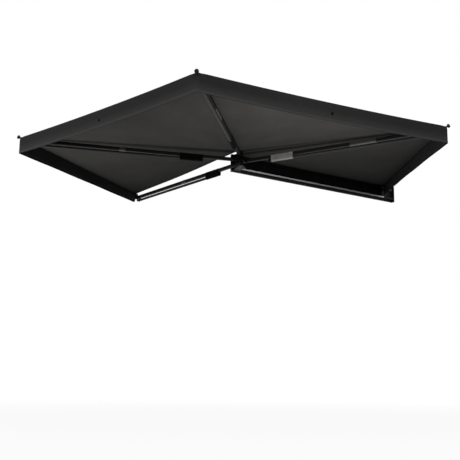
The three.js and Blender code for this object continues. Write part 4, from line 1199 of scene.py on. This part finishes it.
wrap = {
    "length": 0.215,
    "back": (0.075, 0.030, 0.030, 0.030),   # its middle, inside the outer tube's open end
    "room": 0.0006,
    "thickness": 0.0012,
    "corner": 0.0045,
    "steps": (7, 7, 22),                    # round each top corner and round the pole
    "overlap": 0.042,
    "start": 0.93,                          # share of the way round where it begins
    "pinPlace": 0.045,                      # pole pin, back from the arm tube's end
    "squashed": 0.5,
    "slack": 0.0009,
}


def wrapPath(top, low, wide, narrow):
    # Round the arm tube and the pole below it: arcs at the tube's top corners, straight sides that
    # draw in, and half a circle round the pole. Returns points and their outward normals.
    corner = wrap["corner"]
    arcs = zip(((0, 90), (90, 180), (184, 356)), wrap["steps"])
    normals = onCircle(1, np.radians(np.concatenate([np.linspace(*arc, steps) for arc, steps in arcs])))
    centres = [(wide - corner, top - corner), (corner - wide, top - corner), (0, low + narrow)]
    radius = np.repeat([corner, corner, narrow], wrap["steps"])
    return np.repeat(centres, wrap["steps"], axis=0) + normals * radius[:, None], normals


def makeWrap(arm):
    turn, origin = tubeFrame(arm)
    inside = pole["length"] - wrap["back"][arm]
    middle = tubeLength(arm) - wrap["pinPlace"] - inside
    poleTurn, poleAt = poleFrame(arm)
    centre = (poleAt + poleTurn @ (inside, 0, 0) - origin) @ turn     # the pole, in the tube's frame
    room = wrap["room"] + wrap["thickness"]
    wide = arms["tubeSize"] / 2 + room
    narrow = pole["collarRadius"] + room
    ring, normals = wrapPath(wide, centre[2] - narrow, wide, narrow)
    # Even steps round it, from low on one side, once round and on over the overlap
    again = np.concatenate([ring, ring, ring[:1]])
    normals = np.concatenate([normals, normals, normals[:1]])
    run = runAlong(again)
    around = run[len(ring)]
    start = around * wrap["start"]
    steps = start + np.linspace(0, around + wrap["overlap"], 110)
    places, outs = ([np.interp(steps, run, path[:, k]) for k in (0, 1)] for path in (again, normals))
    lap = smoothStep((steps - start - around + 0.012) / 0.012)
    along = np.linspace(-0.5, 0.5, 34) * wrap["length"]
    edge = np.exp(-(wrap["length"] / 2 - np.abs(along)) / 0.006)
    x, s = np.meshgrid(along, steps, indexing="ij")
    creases = wrap["slack"] * (np.sin(x * 95 + s * 60) * 0.5 + np.sin(x * 41 - s * 130 + arm) * 0.5)
    lift = lap * (wrap["thickness"] + 0.0003) + np.maximum(creases, -0.0002) + 0.0008 * edge[:, None]
    y, z = (place + out * lift for place, out in zip(places, outs))
    points = gridOf(middle + x, y, z) @ turn.T + origin
    rows = gridOf(wrap["length"] / 2 - np.abs(x), 1.0)
    piece = openSheet(f"pole_wrap_{arm + 1}_cloth", bodyOfArm(arm), "greyLoop" if arm == 0 else "blackLoop",
                      points, gridOf(x, s), rows, replaced=(f"pole_wrap_{arm + 1}",), sharp=60,
                      slotName="grey_tape" if arm == 0 else "black_tape")
    # Its faces look away from the middle line between tube and pole
    away = (readAll(piece.data.polygons, "center", 3) - origin) @ turn
    away[:, 0] = 0
    away[:, 2] -= centre[2] / 2
    faceTowards(piece, away @ turn.T)
    thicken(piece, wrap["thickness"])
    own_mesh(piece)


for arm in range(armCount):
    for make in (makeTube, makeKnuckle, makeTip, makePoleBracket, makePole, makeWrap):
        make(arm)
print("stage: arms and poles made")


# Beam, hub and brackets
hub = {
    "boltX": 0.038,
    "boltDrops": (0.084, 0.140),
    "boltRadius": 0.005,
    "boltHead": 0.008,
    "headHeight": 0.006,
    "postDepth": 0.024,
    "beamDepth": 0.018,
    "nutHeight": 0.0065,
    "boltEnd": 0.004,
    "pinRadius": 0.007,
    "pinHead": 0.012,
    "pinHeadHeight": 0.004,
    "bracketBolt": 0.004,
    "bracketHead": 0.0075,
    "bracketHeadHeight": 0.0055,
    "endScrewDrops": (0.012, 0.060, 0.110, 0.158),
}


def boxOf(node):
    return [np.array(corner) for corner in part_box(node)]


def makeBolts():
    backward, upward = facing((0, 1, 0)), facing((0, 0, 1))
    for number, drop in enumerate(hub["boltDrops"]):
        at = hubZero + (hub["boltX"], 0, -drop)
        front = -hub["postDepth"] - gap
        back = hub["beamDepth"] + gap
        end = back + hub["nutHeight"] + hub["boltEnd"]
        shank = turnedPart([(front, 0.001), (front, hub["boltRadius"]), (end - 0.0008, hub["boltRadius"]),
                            (end, hub["boltRadius"] * 0.8)], backward, at)
        head = hexPart(hub["boltHead"], front, front - hub["headHeight"], backward, at)
        nut = hexPart(hub["boltHead"], back, back + hub["nutHeight"], backward, at)
        nodePiece(f"hub_bolt_{number + 1}", "zincSteel", "zinc_steel", [shank, *head, *nut])
    for node in [f"bracket_bolt_{n}_{place}" for n in (1, 2) for place in ("upper", "lower")]:
        low, high = boxOf(node)
        at = (low + high) / 2
        at[1] = high[1] - hub["bracketHeadHeight"]
        shank = turnedPart([(low[1] - at[1], 0.001), (low[1] - at[1] + 0.0008, hub["bracketBolt"]),
                            (0.001, hub["bracketBolt"])], backward, at)
        head = hexPart(hub["bracketHead"], 0, hub["bracketHeadHeight"], backward, at)
        nodePiece(node, "zincSteel", "zinc_steel", [shank, *head])
    for number in range(1, armCount + 1):
        low, high = boxOf(f"pivot_pin_{number}")
        at = (low + high) / 2
        half = (high[2] - low[2]) / 2
        head = half - hub["pinHeadHeight"]
        shank = turnedPart([(-head, hub["pinRadius"]), (head, hub["pinRadius"])], upward, at)
        ends = [part for way in (1, -1)
                for part in hexPart(hub["pinHead"], way * head, way * half, upward, at)]
        nodePiece(f"pivot_pin_{number}", "darkSteel", "zinc_steel", [shank, *ends])


cover = {
    "start": 0.080,
    "end": 1.960,
    "top": 0.024,
    "bottom": 0.1205,
    "layers": (0.0026, 0.0076, 0.0124),     # in front of the beam's face
    "steps": (14, 12, 22, 7),               # down each layer and round each turn
    "bulge": 0.0022,
    "thickness": 0.0010,
    "straps": (0.34, 1.02, 1.70),
    "strapWidth": 0.025,
    "strapThickness": 0.0012,
    "buckleDrop": 0.066,
}


def coverPath():
    # The bag's cloth in an S: down on the beam, up again in front of it, and down once more
    a, b, c = cover["layers"]
    first, second, third, turns = cover["steps"]
    low, high, fold = -cover["bottom"], -cover["top"], -cover["top"] - 0.006
    turn = np.linspace(0, np.pi, turns + 2)[1:-1]
    lowTurn = gridOf(a + (b - a) / 2 * (1 - np.cos(turn)), low - (b - a) / 2 * np.sin(turn))
    highTurn = gridOf(b + (c - b) / 2 * (1 - np.cos(turn)), fold + (c - b) / 2 * np.sin(turn))
    down = gridOf(a, np.linspace(high, low, first))
    up = gridOf(b, np.linspace(low, fold, second))
    last = gridOf(c, np.linspace(fold, low - 0.0015, third))
    path = np.concatenate([down, lowTurn, up, highTurn, last])
    weight = np.concatenate([np.zeros(len(path) - third), np.sin(np.linspace(0, np.pi, third))])
    return path, weight


def makeCover():
    path, weight = coverPath()
    alongs = np.linspace(cover["start"], cover["end"], 190)
    x, bulging = np.meshgrid(alongs, weight, indexing="ij")
    y, z = path.T
    pressed = 1 - sum(np.exp(-((x - s) / 0.035) ** 2) for s in cover["straps"])
    depth = y + bulging * cover["bulge"] * np.clip(pressed, 0, 1)
    wrinkle = 0.0005 * np.sin(x * 33 + z * 160) + 0.0004 * np.sin(x * 71 - z * 240)
    points = gridOf(x, -depth - wrinkle * bulging, z) + hubZero
    run = runAlong(path)
    piece = openSheet("travel_cover_cloth", "base", "coverCloth", points, gridOf(x, run),
                      replaced=("travel_cover",), sharp=70)
    thicken(piece, cover["thickness"], 0.0)
    straps = [coverStrap(number, at) for number, at in enumerate(cover["straps"])]


buckle = {
    "width": 0.032,
    "height": 0.020,
    "bar": 0.0036,
}


def makeBuckle(name, turn, origin, width=buckle["width"]):
    # A ladder buckle: two rails joined by three round bars
    height, bar = buckle["height"], buckle["bar"]
    parts = [barPart(bar, bar, 0.0012, -height / 2, height / 2, turn, origin,
                     shift=(0, s * (width - bar) / 2, 0)) for s in (-1, 1)]
    across, rung = turn @ turnAbout("Z", 90), bar * 0.85
    parts += [barPart(rung, rung, 0.0013, -width / 2, width / 2, across, origin, shift=(0, s, 0))
              for s in (-height / 2 + bar / 2, 0, height / 2 - bar / 2)]
    newPiece(name, "base", "blackPlastic", *joined(parts), slotName="black_plastic")


def coverStrap(number, at):
    # A flat strap round the folded cover: a path of (y, z) pairs carried along X over its width
    front = -cover["layers"][2] - 0.0030
    top, bottom = -cover["top"] + 0.0062, -cover["bottom"] - 0.0052
    back = -0.0009
    path = np.array([(back, top), (front * 0.45, top - 0.0006), (front * 0.85, top - 0.0022),
                     (front, top - 0.007), (front - 0.0006, -0.050), (front - 0.0008, -0.075),
                     (front - 0.0006, -0.100), (front, bottom + 0.007), (front * 0.85, bottom + 0.0022),
                     (front * 0.45, bottom + 0.0006), (back, bottom)])
    half = cover["strapWidth"] / 2
    x, k = np.meshgrid(np.linspace(at - half, at + half, 6), np.arange(len(path)), indexing="ij")
    points = gridOf(x, path[k, 0], path[k, 1]) + hubZero
    strap = openSheet(f"cover_strap_{number + 1}", "base", "webbing", points, gridOf(x, runAlong(path)[k]),
                      sharp=60)
    thicken(strap, cover["strapThickness"], 0.0)
    turn = np.column_stack([(0, 0, 1), (1, 0, 0), (0, 1, 0)])
    place = hubZero + (at, front - 0.0030, -cover["buckleDrop"])
    makeBuckle(f"cover_buckle_{number + 1}", turn, place)
    return strap


endStrap = {
    "from": 1.986,
    "to": 2.1355,
    "drop": 0.040,
    "width": 0.022,
    "out": 0.0125,
    "thickness": 0.0013,
    "buckleAt": 2.062,
    "buckleWidth": 0.028,
}


def makeEndStrap():
    # The strap that draws the canopy's corner out to the beam's front end, with its buckle
    alongs = np.linspace(endStrap["from"], endStrap["to"], 24)
    half = endStrap["width"] / 2
    z = -endStrap["drop"] + np.linspace(-half, half, 5)
    share = (alongs - alongs[0]) / (alongs[-1] - alongs[0])
    out = endStrap["out"] * smoothStep(np.minimum(share, 1 - share) * 5) ** 0.5 + 0.0012
    points = gridOf(alongs[:, None], -out[:, None], z)
    uv = gridOf(alongs[:, None], z)
    strap = openSheet("end_strap", "base", "greyWebbing", points + hubZero, uv, sharp=60)
    thicken(strap, endStrap["thickness"], 0.0)
    turn = np.column_stack([(1, 0, 0), (0, 0, 1), (0, -1, 0)])
    place = hubZero + (endStrap["buckleAt"], -endStrap["out"] - 0.0028, -endStrap["drop"])
    makeBuckle("end_buckle", turn, place, endStrap["buckleWidth"])


def makeEndScrews():
    # Four button screws in each end plate
    for label, way in (("front", 1), ("rear", -1)):
        low, high = boxOf(f"beam_end_plate_{label}")
        x = high[0] if way > 0 else low[0]
        y = hubZero[1] + hub["beamDepth"] / 2
        screws = [rivetPart((x - way * 0.0001, y, canopyPlane - drop), (way, 0, 0), 0.0042, 0.0018)
                  for drop in hub["endScrewDrops"]]
        newPiece(f"end_plate_screws_{label}", "base", "zincSteel", *joined(screws), slotName="zinc_steel")


# CAD shapes that are right as they are, with their edges rounded
rounded = {
    "beam": (0.0004, "beamAnodising", "black_anodised"),
    "beam_rail_strip": (0.0004, "railMetal", "bright_aluminium"),
    "beam_end_plate_front": (0.0012, "blackPlastic", "black_plastic"),
    "beam_end_plate_rear": (0.0012, "blackPlastic", "black_plastic"),
    "hub_bracket": (0.0009, "powderCoat", "black_steel"),
    "mount_bracket_1": (0.0009, "powderCoat", "black_steel"),
    "mount_bracket_2": (0.0009, "powderCoat", "black_steel"),
}
for node, values in rounded.items():
    dressed(node, *values)
makeBolts()
makeCover()
makeEndStrap()
makeEndScrews()
print("stage: beam, hub and cover made")

# Camera, floor and light
view = {
    "focal": 811.63,            # pixels, in a 460 pixel frame
    "frame": 460,
    "yaw": 54.48, "pitch": 10.73, "roll": 0.53,
    "place": (-4.3593, -6.0415, -2.1419),   # from the hub's own zero
    "sensor": 36.0,
}


def makeCamera():
    yaw, pitch, roll = np.radians([view["yaw"], view["pitch"], view["roll"]])
    forward = np.array([np.cos(yaw) * np.cos(pitch), np.sin(yaw) * np.cos(pitch), np.sin(pitch)])
    right = np.cross(forward, [0, 0, 1])
    right /= np.linalg.norm(right)
    up = np.cross(right, forward)
    rolledRight = np.cos(roll) * right + np.sin(roll) * up
    rolledUp = -np.sin(roll) * right + np.cos(roll) * up
    lens = view["focal"] / view["frame"] * view["sensor"]
    data = withValues(bpy.data.cameras.new("camera"), sensor_width=view["sensor"], lens=lens, clip_end=200)
    camera = linked("camera", data)
    columns = np.column_stack([rolledRight, rolledUp, -forward])
    place = Matrix.Translation(Vector(hubZero + view["place"]))
    camera.matrix_world = place @ Matrix(columns.tolist()).to_4x4()
    bpy.context.scene.camera = camera


studio = {
    "floorDrop": 2.45,
    "floorSize": 60.0,
    "floorColour": (0.2, 0.2, 0.2, 1),
    # How white the floor is, by the distance from the hub
    "floorWhite": {"From Min": 2.0, "From Max": 8.0, "To Min": 0.94, "To Max": 1.0},
    "worldStrength": 0.6,
    # Each lamp's place and target from the hub's own zero, its size, its power in watts and its spread
    "lamps": {
        "key": ((-3.5, -5.0, 3.0), (0, 0, 0), 3.0, 130, 180),
        "fill": ((-5.0, 2.4, -0.9), (-1.2, 0, 0), 2.0, 60, 180),
        "lowFront": ((-0.35, -1.75, -2.35), (-0.35, -1.5, 0), 1.2, 20, 92),
        "lowRear": ((-1.85, 0.95, -2.35), (-1.9, 0.9, 0), 1.2, 15, 92),
    },
}
white = (1, 1, 1, 1)


def seenWhite(tree):
    # On for rays from the camera and for those that mirror or pass through
    path = addNode(tree, "ShaderNodeLightPath").outputs
    seen = mathNode(tree, "MAXIMUM", path["Is Camera Ray"], path["Is Glossy Ray"])
    return mathNode(tree, "MAXIMUM", seen, path["Is Transmission Ray"])


def bareTree(block):
    block.use_nodes = True
    block.node_tree.nodes.clear()
    return block.node_tree


def mixedShaders(tree, share, first, second):
    return addNode(tree, "ShaderNodeMixShader", {0: share, 1: first.outputs[0], 2: second.outputs[0]})


def makeFloor():
    size = studio["floorSize"] / 2
    z = canopyPlane - studio["floorDrop"]
    corners = np.array([[-size, -size], [size, -size], [size, size], [-size, size]]) + hubZero[:2]
    mesh = bpy.data.meshes.new("floor")
    mesh.from_pydata([(x, y, z) for x, y in corners], [], [(0, 1, 2, 3)])
    floor = linked("floor", mesh)
    made = bpy.data.materials.new("paleFloor")
    tree = bareTree(made)
    diffuse = addNode(tree, "ShaderNodeBsdfDiffuse", {"Color": studio["floorColour"]})
    glow = addNode(tree, "ShaderNodeEmission", {"Color": white, "Strength": 1.0})
    # White far from the object, so that the floor has no horizon
    away = vectorNode(tree, "DISTANCE", objectPlace(tree), 1, (*hubZero[:2], z))["Value"]
    share = addNode(tree, "ShaderNodeMapRange", {0: away, **studio["floorWhite"]}).outputs[0]
    mixed = mixedShaders(tree, mathNode(tree, "MULTIPLY", seenWhite(tree), share), diffuse, glow)
    # Clear from below, so that the awning can be looked at from under it
    below = addNode(tree, "ShaderNodeNewGeometry").outputs["Backfacing"]
    both = mixedShaders(tree, below, mixed, addNode(tree, "ShaderNodeBsdfTransparent"))
    addNode(tree, "ShaderNodeOutputMaterial", {0: both.outputs[0]})
    mesh.materials.append(made)


def makeWorld():
    world = bpy.data.worlds.new("paleStudio")
    bpy.context.scene.world = world
    tree = bareTree(world)
    light, seen = (addNode(tree, "ShaderNodeBackground", {"Color": white, "Strength": strength})
                   for strength in (studio["worldStrength"], 1.0))
    mixed = mixedShaders(tree, seenWhite(tree), light, seen)
    addNode(tree, "ShaderNodeOutputWorld", {0: mixed.outputs[0]})


def areaLamp(name, place, target, size, power, spread):
    data = withValues(bpy.data.lights.new(name, "AREA"), shape="DISK", size=size, energy=power,
                      spread=np.radians(spread))
    place, target = Vector(hubZero + place), Vector(hubZero + target)
    withValues(linked(name, data), location=place, visible_camera=False, rotation_mode="QUATERNION",
               rotation_quaternion=(target - place).to_track_quat("-Z", "Y"))


makeCamera()
makeFloor()
makeWorld()
for name, values in studio["lamps"].items():
    areaLamp(f"{name}Lamp", *values)
bpy.context.scene.view_settings.view_transform = "Standard"
print("stage: camera, floor and light made")
